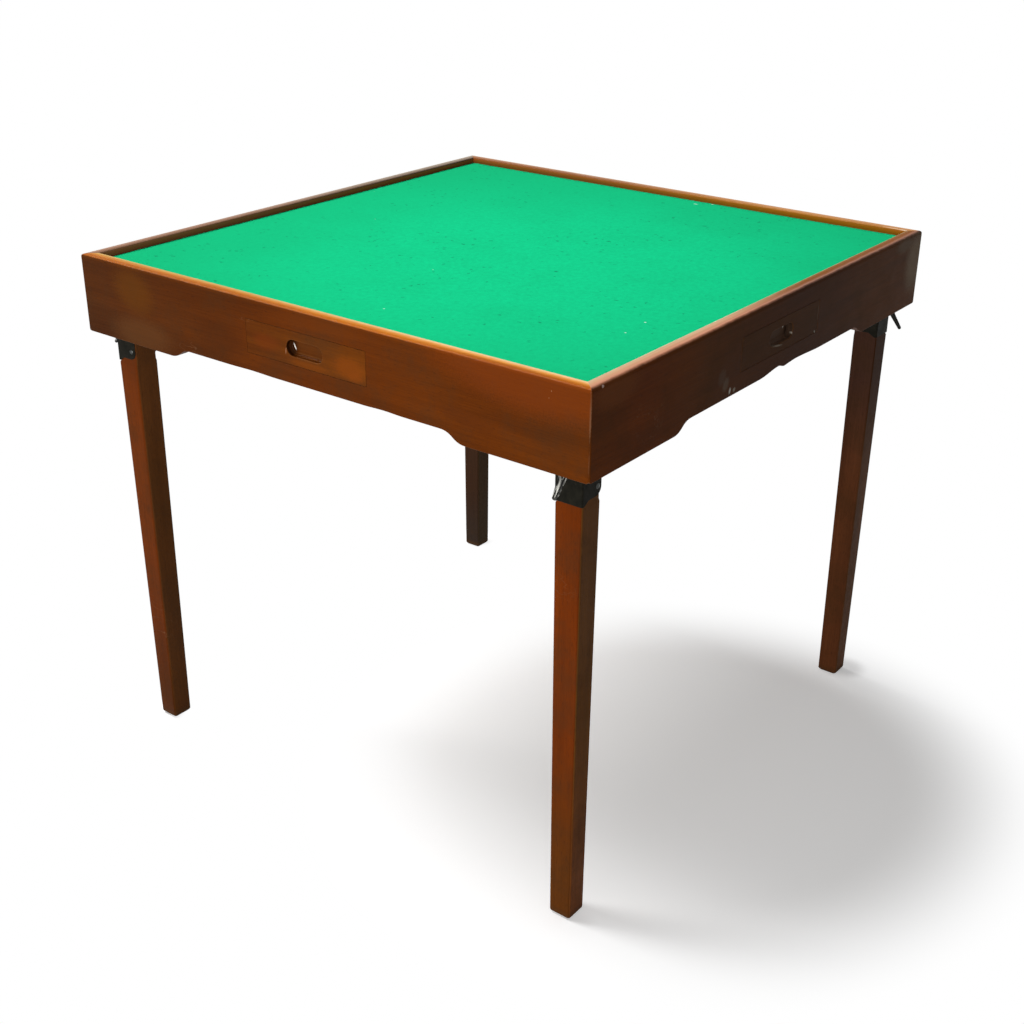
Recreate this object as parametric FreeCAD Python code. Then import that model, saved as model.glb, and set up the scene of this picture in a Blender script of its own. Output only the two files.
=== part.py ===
import FreeCAD, Part
import math
import os

# A square games table: a mitred frame of apron boards round a cloth-covered panel, a shallow
# drawer in the middle of each side, and four legs that fold inwards one after the other round
# the table. Lengths are in millimetres. The origin is on the floor under the table's centre,
# +Z is up and -Y is the front. Each leg's parts are drawn at the front right corner, and each
# side's parts at the front side, then turned round the table by quarter turns.

# Frame and top
side = 800.0                # over the outer faces of the aprons
height = 700.0              # floor to the top of the rim
board = 18.0                # thickness of an apron board
ogee_start = 203.0          # middle of a side to where its lower edge starts to drop
ogee_run = 34.0             # length of the S-shaped step in the lower edge
ogee_drop = 12.0            # how much deeper the ends are than the middle
rim_outer_round = 5.0
rim_inner_round = 2.0
corner_round = 2.5          # upright outer edge where two aprons meet
lower_corner_round = 5.0    # lower outer corner of an apron, seen from its front
rim_above_cloth = 8.0
cloth_thickness = 1.2
cloth_gap = 0.3             # between the cloth's edge and the rim
panel_thickness = 6.0
panel_groove = 6.0          # depth of the groove that holds the panel
panel_play = 0.2
corner_block_leg = 45.0

# Drawers
drawer_drop = 26.0          # top of the rim to the top of a drawer front
drawer_width = 191.0
drawer_height = 41.5
drawer_length = 140.0
drawer_gap = 0.5            # round the drawer front in its opening
drawer_side = 9.0
drawer_side_short = 5.0     # how far the sides stop below the top of the front
drawer_bottom = 3.0
drawer_bottom_up = 3.0      # underside of the drawer to the underside of its bottom
drawer_bottom_groove = 4.0
groove_width = 58.0         # finger groove in the drawer front
groove_height = 20.0
groove_depth = 8.0
groove_floor_bevel = 2.5
guide_thickness = 12.0
guide_lift = 2.0            # underside of a guide above the underside of the drawer
runner_height = 6.0
runner_reach = 3.6          # how far a runner enters the drawer's side
runner_play = 0.3
runner_up = 18.0            # underside of the drawer to the underside of its runners
stop_rail = 12.0
stop_gap = 0.3

# Legs
leg_top = 33.6              # square, inside the sheath
leg_swell = 1.1             # how far the leg stands out below the sheath, on three sides
leg_swell_run = 3.0         # height over which it does so
leg_foot = 30.0             # square, at the floor
leg_edge_round = 3.0
foot_bevel = 3.5
fold_gap = 0.4              # between a folded leg and the drawers above it

# Steel sheath round the top of a leg
sheath = 1.5                # thickness of the plate
sheath_bend = 2.5           # outside radius of its bends
sheath_back_drop = 60.0     # pivot to the lower edge of the back
sheath_flange_drop = 55.0   # pivot to the lower edge of the sides
sheath_corner = 10.0        # radius of the sides' lower corner
sheath_slope = 8.0          # length over which the sides step down to the back
bar_bottom = 2.8            # pivot to the underside of the bar that the latch holds
bar_height = 1.8
slot_width = 7.4
slot_below = 0.6            # slot's lower edge below the pivot

# Hinge bracket, pins, rivets and screws
latch_gap = 5.5             # between the sheath's back and the apron
bracket = 2.0               # thickness of the bracket's plate
ear_gap = 0.5               # between the sheath's sides and the bracket's ears
ear_radius = 10.0
bracket_up = 46.0           # pivot to the bracket's upper edge
bracket_lift = 0.5          # bracket's lower edge above the apron's
gusset_up = 30.0            # pivot to where an ear leaves the bracket's back
window_half = 7.0           # half the width of the lever's window
window_up = 25.0            # pivot to the top of the window
tab = 1.5                   # thickness of the tabs that hold the lever's pin
tab_height = 9.5
stop_play = 0.3             # between the tabs and the sheath that rests on them
pin_radius = 2.5
pin_head_radius = 4.0
pin_head = 1.3
pin_play = 0.05             # radial play of every pin in its hole
rivet_radius = 2.0
rivet_head_radius = 3.3
rivet_head = 1.5
rivet_out = 10.0            # cross rivet, from the leg's middle towards the fold
rivet_down = 44.0           # cross rivet, below the pivot
head_taper = 0.6            # top of a pin's, rivet's or screw's head against its foot
screw_radius = 1.8
screw_head_radius = 3.4
screw_head = 1.4
screw_length = 14.0
screw_apart = 14.0          # lower screws, each side of the bracket's middle
low_screw_up = 31.0         # above the pivot
top_screw_up = 41.2

# Release lever, its pin and its spring
lever_pin_radius = 1.25
lever_pin_up = 4.8          # apron's lower edge to the lever's pin
lever_clear = 0.35          # round the lever's eye
lever_eye_width = 10.0
lever_arm = 1.6             # thickness of the upper arm
lever_arm_width = 9.0
lever_over_nose = 0.3
nose_width = 6.0
nose_height = 2.0
nose_below_bar = 0.3
nose_short = 0.3            # nose stops this far from the wood
tail = 2.4                  # thickness of the finger blade
tail_root_width = 10.0
tail_tip_width = 6.2
tail_under_apron = 1.2      # room between the apron's lower edge and the tail
tail_reach = 20.0           # apron's inner face to the tip's centre, outwards
tail_down = 28.0            # apron's lower edge to the tip's centre
tail_knee_out = 5.0         # apron's inner face to the knee where the blade starts
tail_knee_down = 7.0        # apron's lower edge to that knee
tail_hollow_width = 3.0     # pressed hollow along the blade
tail_hollow_depth = 0.7
spring_thickness = 0.4
spring_width = 7.0
spring_bow = 1.4
spring_mid_up = 12.0        # pivot to the bow
spring_rivet_radius = 2.2
spring_rivet_head = 1.0
spring_top_short = 9.0      # below the bracket's upper edge
spring_end_down = 1.0       # spring's end below the nose's underside

# Heights and places that follow from the sizes above
half = side / 2
inner = half - board
cloth_top = height - rim_above_cloth
panel_top = cloth_top - cloth_thickness
panel_under = panel_top - panel_thickness
drawer_top = height - drawer_drop
drawer_under = drawer_top - drawer_height
leg_half = leg_top / 2
pivot_z = drawer_under - fold_gap - leg_half
apron_low = pivot_z - leg_half - sheath
apron_middle = apron_low + ogee_drop
leg_centre = inner - latch_gap - sheath - leg_half
sheath_half = leg_half + sheath
ear_inside = sheath_half + ear_gap
ear_outside = ear_inside + bracket
back_face = -(leg_centre + sheath_half)
lever_pin_y = -inner + latch_gap / 2
lever_pin_z = apron_low + lever_pin_up
nose_top = pivot_z + bar_bottom - nose_below_bar
nose_under = nose_top - nose_height
opening_half = drawer_width / 2 + drawer_gap
drawer_half = drawer_width / 2
drawer_back = -half + drawer_length

side_names = ("front", "right", "back", "left")
corner_names = ("front_right", "back_right", "back_left", "front_left")


def vec(x, y, z):
    return FreeCAD.Vector(x, y, z)


def box(x0, y0, z0, x1, y1, z1):
    """Box between two opposite corners."""
    return Part.makeBox(x1 - x0, y1 - y0, z1 - z0, vec(x0, y0, z0))


def rod_x(y, z, radius, x0, x1):
    """Round bar along X."""
    return Part.makeCylinder(radius, x1 - x0, vec(x0, y, z), vec(1, 0, 0))


def rod_y(x, z, radius, y0, y1):
    """Round bar along Y."""
    return Part.makeCylinder(radius, y1 - y0, vec(x, y0, z), vec(0, 1, 0))


def prism_x(outline, x0, x1):
    """Closed outline of (y, z) points, run along X."""
    wire = Part.makePolygon([vec(x0, y, z) for y, z in outline + [outline[0]]])
    return Part.Face(wire).extrude(vec(x1 - x0, 0, 0))


def wire_of(pieces):
    """Closed wire of lines (two points) and arcs (three points)."""
    edges = []
    for piece in pieces:
        if len(piece) == 2:
            edges.append(Part.LineSegment(*piece).toShape())
        else:
            edges.append(Part.Arc(*piece).toShape())
    return Part.Wire(Part.__sortEdges__(edges))


def joined(first, others):
    """One solid out of several that meet."""
    return first.multiFuse(others).removeSplitter()


def head(centre, outwards, radius, rise):
    """Low tapered head that stands on a face."""
    return Part.makeCone(radius, radius * head_taper, rise, centre, outwards)


def turned(shape, quarter):
    """Copy of a front-side or front-right part, taken round the table."""
    copy = shape.copy()
    copy.rotate(vec(0, 0, 0), vec(0, 0, 1), 90 * quarter)
    return copy


def edges_along_x(shape, y, z):
    """The shape's straight edges along X at a given y and z."""
    found = []
    for edge in shape.Edges:
        ends = [vertex.Point for vertex in edge.Vertexes]
        if all(abs(end.y - y) < 1e-6 and abs(end.z - z) < 1e-6 for end in ends):
            found.append(edge)
    return found


# Frame and top

def ogee(sign):
    """The two tangent arcs of the lower edge's step, from the middle outwards."""
    run = ogee_run / 2
    drop = ogee_drop / 2
    radius = (run ** 2 + drop ** 2) / (2 * drop)
    bend = math.asin(run / radius) / 2
    along = radius * math.sin(bend)
    down = radius * (1 - math.cos(bend))
    start = vec(sign * ogee_start, -half, apron_middle)
    first = vec(sign * (ogee_start + along), -half, apron_middle - down)
    waist = vec(sign * (ogee_start + run), -half, apron_middle - drop)
    second = vec(sign * (ogee_start + ogee_run - along), -half, apron_low + down)
    end = vec(sign * (ogee_start + ogee_run), -half, apron_low)
    return [(start, first, waist), (waist, second, end)]


def apron_blank():
    """Shaped board with a rounded rim, before its joints are cut."""
    step = ogee_start + ogee_run
    flat = half - lower_corner_round
    low = apron_low + lower_corner_round
    turn = lower_corner_round * math.sin(math.pi / 4)
    outline = ogee(1) + ogee(-1)
    outline += [
        (vec(-ogee_start, -half, apron_middle), vec(ogee_start, -half, apron_middle)),
        (vec(half, -half, height), vec(-half, -half, height)),
    ]
    for sign in (-1, 1):
        outline += [
            (vec(sign * step, -half, apron_low), vec(sign * flat, -half, apron_low)),
            (
                vec(sign * flat, -half, apron_low),
                vec(sign * (flat + turn), -half, low - turn),
                vec(sign * half, -half, low),
            ),
            (vec(sign * half, -half, low), vec(sign * half, -half, height)),
        ]
    blank = Part.Face(wire_of(outline)).extrude(vec(0, board, 0))
    blank = blank.makeFillet(rim_outer_round, edges_along_x(blank, -half, height))
    return blank.makeFillet(rim_inner_round, edges_along_x(blank, -inner, height))


def mitre_stock():
    """Room that one apron may fill: its side of the mitres and of the rounded corners."""
    plan = [vec(-half, -half, 0), vec(half, -half, 0), vec(inner, -inner, 0), vec(-inner, -inner, 0)]
    wedge = Part.Face(Part.makePolygon(plan + plan[:1])).extrude(vec(0, 0, height))
    block = box(-half, -half, 0, half, half, height)
    uprights = [edge for edge in block.Edges if abs(edge.Vertexes[0].Z - edge.Vertexes[1].Z) > board]
    return wedge.common(block.makeFillet(corner_round, uprights))


def screw_places():
    """Places of a bracket's three screws in x and z."""
    return [
        (leg_centre - screw_apart, pivot_z + low_screw_up),
        (leg_centre + screw_apart, pivot_z + low_screw_up),
        (leg_centre, pivot_z + top_screw_up),
    ]


def apron():
    """Front apron: mitred, grooved for the panel, open for the drawer, bored for screws."""
    shape = apron_blank().common(mitre_stock())
    groove_back = -inner - panel_groove
    cuts = [
        box(-half, groove_back, panel_under, half, -inner, panel_top),
        box(
            -opening_half, -half - board, drawer_under - drawer_gap,
            opening_half, -inner + board, drawer_top + drawer_gap,
        ),
    ]
    reach = -inner + bracket - screw_length - pin_play
    for x, z in screw_places():
        cuts.append(rod_y(x, z, screw_radius + pin_play, reach, -inner + board))
    return shape.cut(cuts)


def top_panel():
    """Plywood panel, held all round in the aprons' grooves."""
    edge = inner + panel_groove - panel_play
    return box(-edge, -edge, panel_under, edge, edge, panel_top)


def playing_cloth():
    """Baize glued on the panel inside the rim."""
    edge = inner - cloth_gap
    return box(-edge, -edge, panel_top, edge, edge, cloth_top)


def corner_block():
    """Three-sided glue block under the panel, above the hinge bracket."""
    low = pivot_z + bracket_up + bracket
    near = inner - corner_block_leg
    plan = [vec(inner, -inner, low), vec(near, -inner, low), vec(inner, -near, low)]
    return Part.Face(Part.makePolygon(plan + plan[:1])).extrude(vec(0, 0, panel_under - low))


# Drawers

def drawer_bottom_board():
    """Thin bottom board, held in grooves in the front and sides."""
    low = drawer_under + drawer_bottom_up
    wide = drawer_half - drawer_side + drawer_bottom_groove
    return box(-wide, -inner - drawer_bottom_groove, low, wide, drawer_back, low + drawer_bottom)


def finger_groove():
    """Room of the long round-ended groove that a finger pulls on."""
    end = (groove_width - groove_height) / 2
    middle = (drawer_under + drawer_top) / 2
    floor = -half + groove_depth
    radius = groove_height / 2
    room = box(-end, -half - board, middle - radius, end, floor, middle + radius)
    rounds = [rod_y(x, middle, radius, -half - board, floor) for x in (-end, end)]
    room = joined(room, rounds)
    deep = [edge for edge in room.Edges if all(abs(v.Y - floor) < 1e-6 for v in edge.Vertexes)]
    return room.makeChamfer(groove_floor_bevel, deep)


def drawer_front():
    """Front flush with the apron, rebated at its ends for the sides."""
    front = box(-drawer_half, -half, drawer_under, drawer_half, -inner, drawer_top)
    lap = board / 2
    cuts = [finger_groove(), drawer_bottom_board()]
    for sign in (-1, 1):
        near = min(sign * drawer_half, sign * (drawer_half - drawer_side))
        cuts.append(box(near, -inner - lap, drawer_under, near + drawer_side, -inner, drawer_top))
    return front.cut(cuts)


def drawer_walls():
    """Two grooved sides and the back, as three separate boards."""
    lap = board / 2
    top = drawer_top - drawer_side_short
    runner_z = drawer_under + runner_up
    deep = drawer_half - drawer_side
    right = box(deep, -inner - lap, drawer_under, drawer_half, drawer_back, top)
    slot = box(
        opening_half - runner_reach - 2 * runner_play, -inner - 2 * runner_play,
        runner_z - 2 * runner_play, half, 0, runner_z + runner_height + runner_play,
    )
    right = right.cut([slot, drawer_bottom_board()])
    left = right.mirror(vec(0, 0, 0), vec(1, 0, 0))
    back_low = drawer_under + drawer_bottom_up + drawer_bottom
    back = box(-deep, drawer_back - drawer_side, back_low, deep, drawer_back, top)
    return Part.makeCompound([right, left, back])


def drawer_guides():
    """Guide with a runner tongue each side of the drawer, and the stop rail behind it."""
    low = drawer_under + guide_lift
    rail_front = drawer_back + stop_gap
    rail_back = rail_front + stop_rail
    runner_z = drawer_under + runner_up
    guide = box(opening_half, -inner, low, opening_half + guide_thickness, rail_back, panel_under)
    tongue = box(
        opening_half - runner_reach, -inner, runner_z,
        opening_half + guide_thickness / 2, drawer_back - drawer_gap, runner_z + runner_height,
    )
    right = joined(guide, [tongue])
    left = right.mirror(vec(0, 0, 0), vec(1, 0, 0))
    rail = box(-opening_half, rail_front, low, opening_half, rail_back, panel_under)
    return Part.makeCompound([right, left, rail])


# Legs, drawn at the front right corner. A leg folds about X, its foot towards +Y.

def leg_section(half_width, z, swell=0):
    """Wire of a square with round corners, which may stand out on all but its inner side."""
    radius = leg_edge_round
    turn = radius * (1 - math.sin(math.pi / 4))
    left, right = leg_centre - half_width - swell, leg_centre + half_width + swell
    back, front = -leg_centre - half_width - swell, -leg_centre + half_width
    pieces = []
    for x, y, east, north in (
        (right, back, -1, 1), (right, front, -1, -1), (left, front, 1, -1), (left, back, 1, 1),
    ):
        first = vec(x + east * radius, y, z)
        last = vec(x, y + north * radius, z)
        middle = vec(x + east * turn, y + north * turn, z)
        pieces.append((first, middle, last) if east * north < 0 else (last, middle, first))
    ends = [piece[0] for piece in pieces]
    pieces += [(piece[2], end) for piece, end in zip(pieces, ends[1:] + ends[:1])]
    return wire_of(pieces)


def leg():
    """Tapered leg, cut back under its sheath, with a round top and bores for pin and rivet."""
    shoulder = pivot_z - sheath_back_drop - stop_play
    foot_half = leg_foot / 2
    shank = Part.makeLoft(
        [
            leg_section(foot_half - foot_bevel, 0),
            leg_section(foot_half, foot_bevel),
            leg_section(leg_half, shoulder - leg_swell_run, leg_swell),
            leg_section(leg_half, shoulder),
            leg_section(leg_half, pivot_z + leg_half),
        ],
        True,
        True,
    )
    crown = rod_x(-leg_centre, pivot_z, leg_half, leg_centre - leg_top, leg_centre + leg_top)
    below = box(0, -half, -height, half, 0, pivot_z)
    shape = shank.common(below.fuse(crown))
    bores = [
        rod_x(-leg_centre, pivot_z, pin_radius + pin_play, 0, half),
        rod_x(
            -leg_centre + rivet_out, pivot_z - rivet_down, rivet_radius + pin_play, 0, half,
        ),
    ]
    return shape.cut(bores)


def sheath_side_outline():
    """Side view of the sheath, run across the leg."""
    def at(out, up):
        return vec(0, out - leg_centre, pivot_z + up)

    bar_top = bar_bottom + bar_height
    crown_end = math.pi - math.asin(bar_top / leg_half)
    middle = crown_end / 2
    turn = sheath_corner * (1 - math.sin(math.pi / 4))
    corner_in = leg_half - sheath_corner
    corner_up = sheath_corner - sheath_flange_drop
    back_low = (-sheath_half, -sheath_back_drop)
    step_low = (-leg_half + sheath_bend, -sheath_back_drop)
    step_top = (-leg_half + sheath_bend + sheath_slope, -sheath_flange_drop)
    crown_out = leg_half * math.cos(crown_end)
    outline = [
        (at(*back_low), at(*step_low)),
        (at(*step_low), at(*step_top)),
        (at(*step_top), at(corner_in, -sheath_flange_drop)),
        (
            at(corner_in, -sheath_flange_drop),
            at(leg_half - turn, turn - sheath_flange_drop),
            at(leg_half, corner_up),
        ),
        (at(leg_half, corner_up), at(leg_half, 0)),
        (
            at(leg_half, 0),
            at(leg_half * math.cos(middle), leg_half * math.sin(middle)),
            at(crown_out, bar_top),
        ),
        (at(crown_out, bar_top), at(-sheath_half, bar_top)),
        (at(-sheath_half, bar_top), at(*back_low)),
    ]
    return Part.Face(wire_of(outline)).extrude(vec(half, 0, 0))


def upright_edges_at(shape, y):
    """The shape's upright edges at a given y."""
    found = []
    for edge in shape.Edges:
        first, last = edge.Vertexes[0].Point, edge.Vertexes[-1].Point
        upright = abs(first.x - last.x) < 1e-6 and abs(first.z - last.z) > 1e-6
        if upright and abs(first.y - y) < 1e-6 and abs(last.y - y) < 1e-6:
            found.append(edge)
    return found


def leg_sheath():
    """Folded steel sheath: a back and two sides, with the slot that the latch enters."""
    low = pivot_z - sheath_back_drop
    top = pivot_z + leg_half
    open_edge = -leg_centre + leg_half
    wood_face = -leg_centre - leg_half
    outer = box(
        leg_centre - sheath_half, back_face, low, leg_centre + sheath_half, open_edge, top,
    )
    outer = outer.makeFillet(sheath_bend, upright_edges_at(outer, back_face))
    room = box(
        leg_centre - leg_half, wood_face, low - sheath,
        leg_centre + leg_half, open_edge + sheath, top + sheath,
    )
    room = room.makeFillet(sheath_bend - sheath, upright_edges_at(room, wood_face))
    channel = outer.cut(room).common(sheath_side_outline())
    holes = [
        box(
            leg_centre - slot_width / 2, back_face - sheath, pivot_z - slot_below,
            leg_centre + slot_width / 2, wood_face + sheath, pivot_z + bar_bottom,
        ),
        rod_x(-leg_centre, pivot_z, pin_radius + pin_play, 0, half),
        rod_x(
            -leg_centre + rivet_out, pivot_z - rivet_down, rivet_radius + pin_play, 0, half,
        ),
    ]
    return channel.cut(holes)


def sheath_rivet():
    """Rivet across the leg, through the sheath's sides."""
    y = -leg_centre + rivet_out
    z = pivot_z - rivet_down
    left = leg_centre - sheath_half
    right = leg_centre + sheath_half
    return joined(
        rod_x(y, z, rivet_radius, left, right),
        [
            head(vec(right, y, z), vec(1, 0, 0), rivet_head_radius, rivet_head),
            head(vec(left, y, z), vec(-1, 0, 0), rivet_head_radius, rivet_head),
        ],
    )


# Hinge bracket and its pins

def ear_outline(x0, x1):
    """Ear of the bracket: a round end about the pivot, spreading to the bracket's back."""
    low = apron_low + bracket_lift
    outline = [
        (-inner, low),
        (-inner + bracket, low),
        (-leg_centre, pivot_z - ear_radius),
        (-leg_centre, pivot_z + ear_radius),
        (-inner + bracket, pivot_z + gusset_up),
        (-inner, pivot_z + gusset_up),
    ]
    web = prism_x(outline, x0, x1)
    return web.fuse(rod_x(-leg_centre, pivot_z, ear_radius, x0, x1))


def hinge_bracket():
    """Bracket screwed to the apron: ears for the leg, a window and two tabs for the lever."""
    low = apron_low + bracket_lift
    left = leg_centre - ear_outside
    right = leg_centre + ear_outside
    back = box(left, -inner, low, right, -inner + bracket, pivot_z + bracket_up)
    window = box(
        leg_centre - window_half, -inner - bracket, low - bracket,
        leg_centre + window_half, -inner + 2 * bracket, pivot_z + window_up,
    )
    back = back.cut(window)
    ears = [ear_outline(left, left + bracket), ear_outline(right - bracket, right)]
    tabs = []
    for x in (leg_centre - window_half, leg_centre + window_half - tab):
        edge = back_face - stop_play
        tabs.append(box(x, -inner, low, x + tab, edge, low + tab_height))
    feet = []
    for x in (leg_centre - window_half - tab, leg_centre + window_half):
        feet.append(box(x, -inner, low, x + tab, -inner + bracket, low + tab_height))
    shape = joined(back, ears + tabs + feet)
    holes = [
        rod_x(-leg_centre, pivot_z, pin_radius + pin_play, 0, half),
        rod_x(
            lever_pin_y, lever_pin_z, lever_pin_radius + pin_play,
            leg_centre - window_half, leg_centre + window_half,
        ),
    ]
    for x, z in screw_places():
        holes.append(rod_y(x, z, screw_radius + pin_play, -half, -inner + 2 * bracket))
    return shape.cut(holes)


def hinge_pin():
    """Riveted pin through the bracket's ears, the sheath and the leg."""
    left = leg_centre - ear_outside
    right = leg_centre + ear_outside
    return joined(
        rod_x(-leg_centre, pivot_z, pin_radius, left, right),
        [
            head(vec(right, -leg_centre, pivot_z), vec(1, 0, 0), pin_head_radius, pin_head),
            head(vec(left, -leg_centre, pivot_z), vec(-1, 0, 0), pin_head_radius, pin_head),
        ],
    )


def bracket_screws():
    """Screws that hold one bracket to its apron."""
    face = -inner + bracket
    screws = []
    for x, z in screw_places():
        top = head(vec(x, face, z), vec(0, 1, 0), screw_head_radius, screw_head)
        screws.append(joined(rod_y(x, z, screw_radius, face - screw_length, face), [top]))
    return screws


# Release lever: a two-armed latch on the bracket. Its nose sits in the sheath's slot, under
# the bar, and keeps the leg upright. A finger presses the blade below the apron towards the
# leg, which swings the nose out of the slot.

def bent_strip(points, thickness, x0, x1):
    """Strip of even thickness that follows (y, z) points, with round bends and end."""
    pieces = []
    for (y0, z0), (y1, z1) in zip(points, points[1:]):
        length = math.hypot(y1 - y0, z1 - z0)
        ny = -(z1 - z0) / length * thickness / 2
        nz = (y1 - y0) / length * thickness / 2
        outline = [(y0 + ny, z0 + nz), (y1 + ny, z1 + nz), (y1 - ny, z1 - nz), (y0 - ny, z0 - nz)]
        pieces.append(prism_x(outline, x0, x1))
        pieces.append(rod_x(y1, z1, thickness / 2, x0, x1))
    return joined(pieces[0], pieces[1:])


def tail_blade(knee, tip):
    """Tapered finger blade with a round tip and a pressed hollow, from knee to tip."""
    along = vec(0, tip[0] - knee[0], tip[1] - knee[1])
    length = along.Length
    along.normalize()
    outwards = vec(0, along.z, -along.y)
    base = vec(leg_centre, knee[0], knee[1])

    def plate(root, end, reach, start, low, thick):
        shift = base + outwards * low
        corners = [(-root / 2, start), (root / 2, start), (end / 2, reach), (-end / 2, reach)]
        place = [shift + vec(across, 0, 0) + along * run for across, run in corners]
        tip_point = shift + along * (reach + end / 2)
        outline = [
            (place[0], place[1]),
            (place[1], place[2]),
            (place[2], tip_point, place[3]),
            (place[3], place[0]),
        ]
        return Part.Face(wire_of(outline)).extrude(outwards * thick)

    blade = plate(tail_root_width, tail_tip_width, length - tail_tip_width / 2, 0, -tail / 2, tail)
    hollow_end = length - tail_tip_width
    hollow = plate(
        tail_hollow_width, tail_hollow_width / 2, hollow_end, tail, tail / 2 - tail_hollow_depth, tail,
    )
    return blade.cut(hollow)


def release_lever():
    """Lever with an eye on its pin, an arm with the nose above, and a finger blade below."""
    eye = rod_x(
        lever_pin_y, lever_pin_z, latch_gap / 2 - lever_clear,
        leg_centre - lever_eye_width / 2, leg_centre + lever_eye_width / 2,
    )
    arm = box(
        leg_centre - lever_arm_width / 2, lever_pin_y, lever_pin_z,
        leg_centre + lever_arm_width / 2, lever_pin_y + lever_arm, nose_top + lever_over_nose,
    )
    nose_tip = -leg_centre - leg_half - nose_short
    nose = box(
        leg_centre - nose_width / 2, lever_pin_y, nose_under,
        leg_centre + nose_width / 2, nose_tip, nose_top,
    )
    first = (lever_pin_y - tail / 4, apron_low - tail / 2)
    knee = (-inner - tail_knee_out, apron_low - tail_knee_down)
    tip = (-inner - tail_reach, apron_low - tail_down)
    neck = bent_strip(
        [(lever_pin_y, lever_pin_z), first, knee], tail,
        leg_centre - tail_root_width / 2, leg_centre + tail_root_width / 2,
    )
    shape = joined(eye, [arm, nose, neck, tail_blade(knee, tip)])
    return shape.cut(rod_x(lever_pin_y, lever_pin_z, lever_pin_radius + pin_play, 0, half))


def lever_pin():
    """Short pin between the bracket's tabs."""
    return rod_x(
        lever_pin_y, lever_pin_z, lever_pin_radius,
        leg_centre - window_half, leg_centre + window_half,
    )


def lever_spring():
    """Bowed leaf spring, riveted to the bracket, that holds the nose in its slot."""
    top = pivot_z + bracket_up - spring_top_short
    seat = -inner + bracket + spring_thickness / 2
    end = lever_pin_y - stop_play - spring_thickness / 2
    points = [
        (seat, top),
        (seat, pivot_z + window_up - spring_thickness),
        (seat - spring_bow, pivot_z + spring_mid_up),
        (end, nose_under - spring_end_down),
    ]
    leaf = bent_strip(
        points, spring_thickness, leg_centre - spring_width / 2, leg_centre + spring_width / 2,
    )
    rivet_z = (top + pivot_z + window_up) / 2
    face = -inner + bracket + spring_thickness
    rivet = head(vec(leg_centre, face, rivet_z), vec(0, 1, 0), spring_rivet_radius, spring_rivet_head)
    return joined(leaf, [rivet])


def all_parts():
    """Every named part of the table."""
    parts = {"top_panel": top_panel(), "playing_cloth": playing_cloth()}
    side_parts = {
        "apron": apron(),
        "drawer_front": drawer_front(),
        "drawer_walls": drawer_walls(),
        "drawer_bottom": drawer_bottom_board(),
        "drawer_guides": drawer_guides(),
    }
    corner_parts = {
        "leg": leg(),
        "leg_sheath": leg_sheath(),
        "sheath_rivet": sheath_rivet(),
        "hinge_bracket": hinge_bracket(),
        "hinge_pin": hinge_pin(),
        "release_lever": release_lever(),
        "lever_pin": lever_pin(),
        "lever_spring": lever_spring(),
    }
    blocks = []
    screws = []
    for quarter in range(4):
        for name, shape in side_parts.items():
            parts[side_names[quarter] + "_" + name] = turned(shape, quarter)
        for name, shape in corner_parts.items():
            parts[corner_names[quarter] + "_" + name] = turned(shape, quarter)
        blocks.append(turned(corner_block(), quarter))
        screws += [turned(screw, quarter) for screw in bracket_screws()]
    parts["corner_blocks"] = Part.makeCompound(blocks)
    parts["bracket_screws"] = Part.makeCompound(screws)
    return parts


os.makedirs("parts", exist_ok=True)
for part_name, part_shape in all_parts().items():
    part_shape.exportStep("parts/" + part_name + ".step")
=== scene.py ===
import bmesh
import bpy
import math
from mathutils import Matrix, Vector, noise


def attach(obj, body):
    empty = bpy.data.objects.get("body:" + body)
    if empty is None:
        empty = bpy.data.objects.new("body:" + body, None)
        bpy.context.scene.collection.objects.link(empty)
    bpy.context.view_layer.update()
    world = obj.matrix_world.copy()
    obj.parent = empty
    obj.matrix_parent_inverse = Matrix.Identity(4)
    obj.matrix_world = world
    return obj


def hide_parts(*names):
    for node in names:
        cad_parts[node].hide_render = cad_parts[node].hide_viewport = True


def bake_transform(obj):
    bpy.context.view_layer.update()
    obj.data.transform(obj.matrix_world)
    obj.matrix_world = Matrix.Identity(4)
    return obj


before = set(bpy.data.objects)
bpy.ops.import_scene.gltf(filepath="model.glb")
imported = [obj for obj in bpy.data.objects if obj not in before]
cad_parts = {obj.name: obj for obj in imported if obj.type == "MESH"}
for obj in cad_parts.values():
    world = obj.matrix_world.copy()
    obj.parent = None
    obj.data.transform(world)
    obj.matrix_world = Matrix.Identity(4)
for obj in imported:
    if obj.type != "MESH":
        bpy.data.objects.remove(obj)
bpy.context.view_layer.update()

sides = ("front", "right", "back", "left")  # the first one faces -Y, then round the table
corners = ("front_right", "back_right", "back_left", "front_left")
quarter = math.pi / 2
grainTurns = {"X": (0, 0, 0), "Y": (0, 0, quarter), "Z": (0, quarter, 0)}
legCentre = 0.3582  # middle of the first corner's leg, along X and towards -Y

cameraView = {
    "place": (1.1536, -1.5136, 1.2016),
    "azimuth": 37.4,
    "elevation": 25.32,
    "roll": 0.42,
    "lens": 51.05,
    "reach": 60,
}


def axesOf(side):  # the axis across a side's board, and the one along it
    return ("Y", "X") if side in ("front", "back") else ("X", "Y")


def sideAxes(side):  # outward normal and rightward direction, seen from outside
    turn = Matrix.Rotation(sides.index(side) * quarter, 3, "Z")
    return turn @ Vector((0, -1, 0)), turn @ Vector((1, 0, 0))


def cornerTurn(index):  # from the first corner to another one
    return Matrix.Rotation(index * quarter, 4, "Z")


def newObject(name, data):
    made = bpy.data.objects.new(name, data)
    bpy.context.scene.collection.objects.link(made)
    return made


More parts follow.
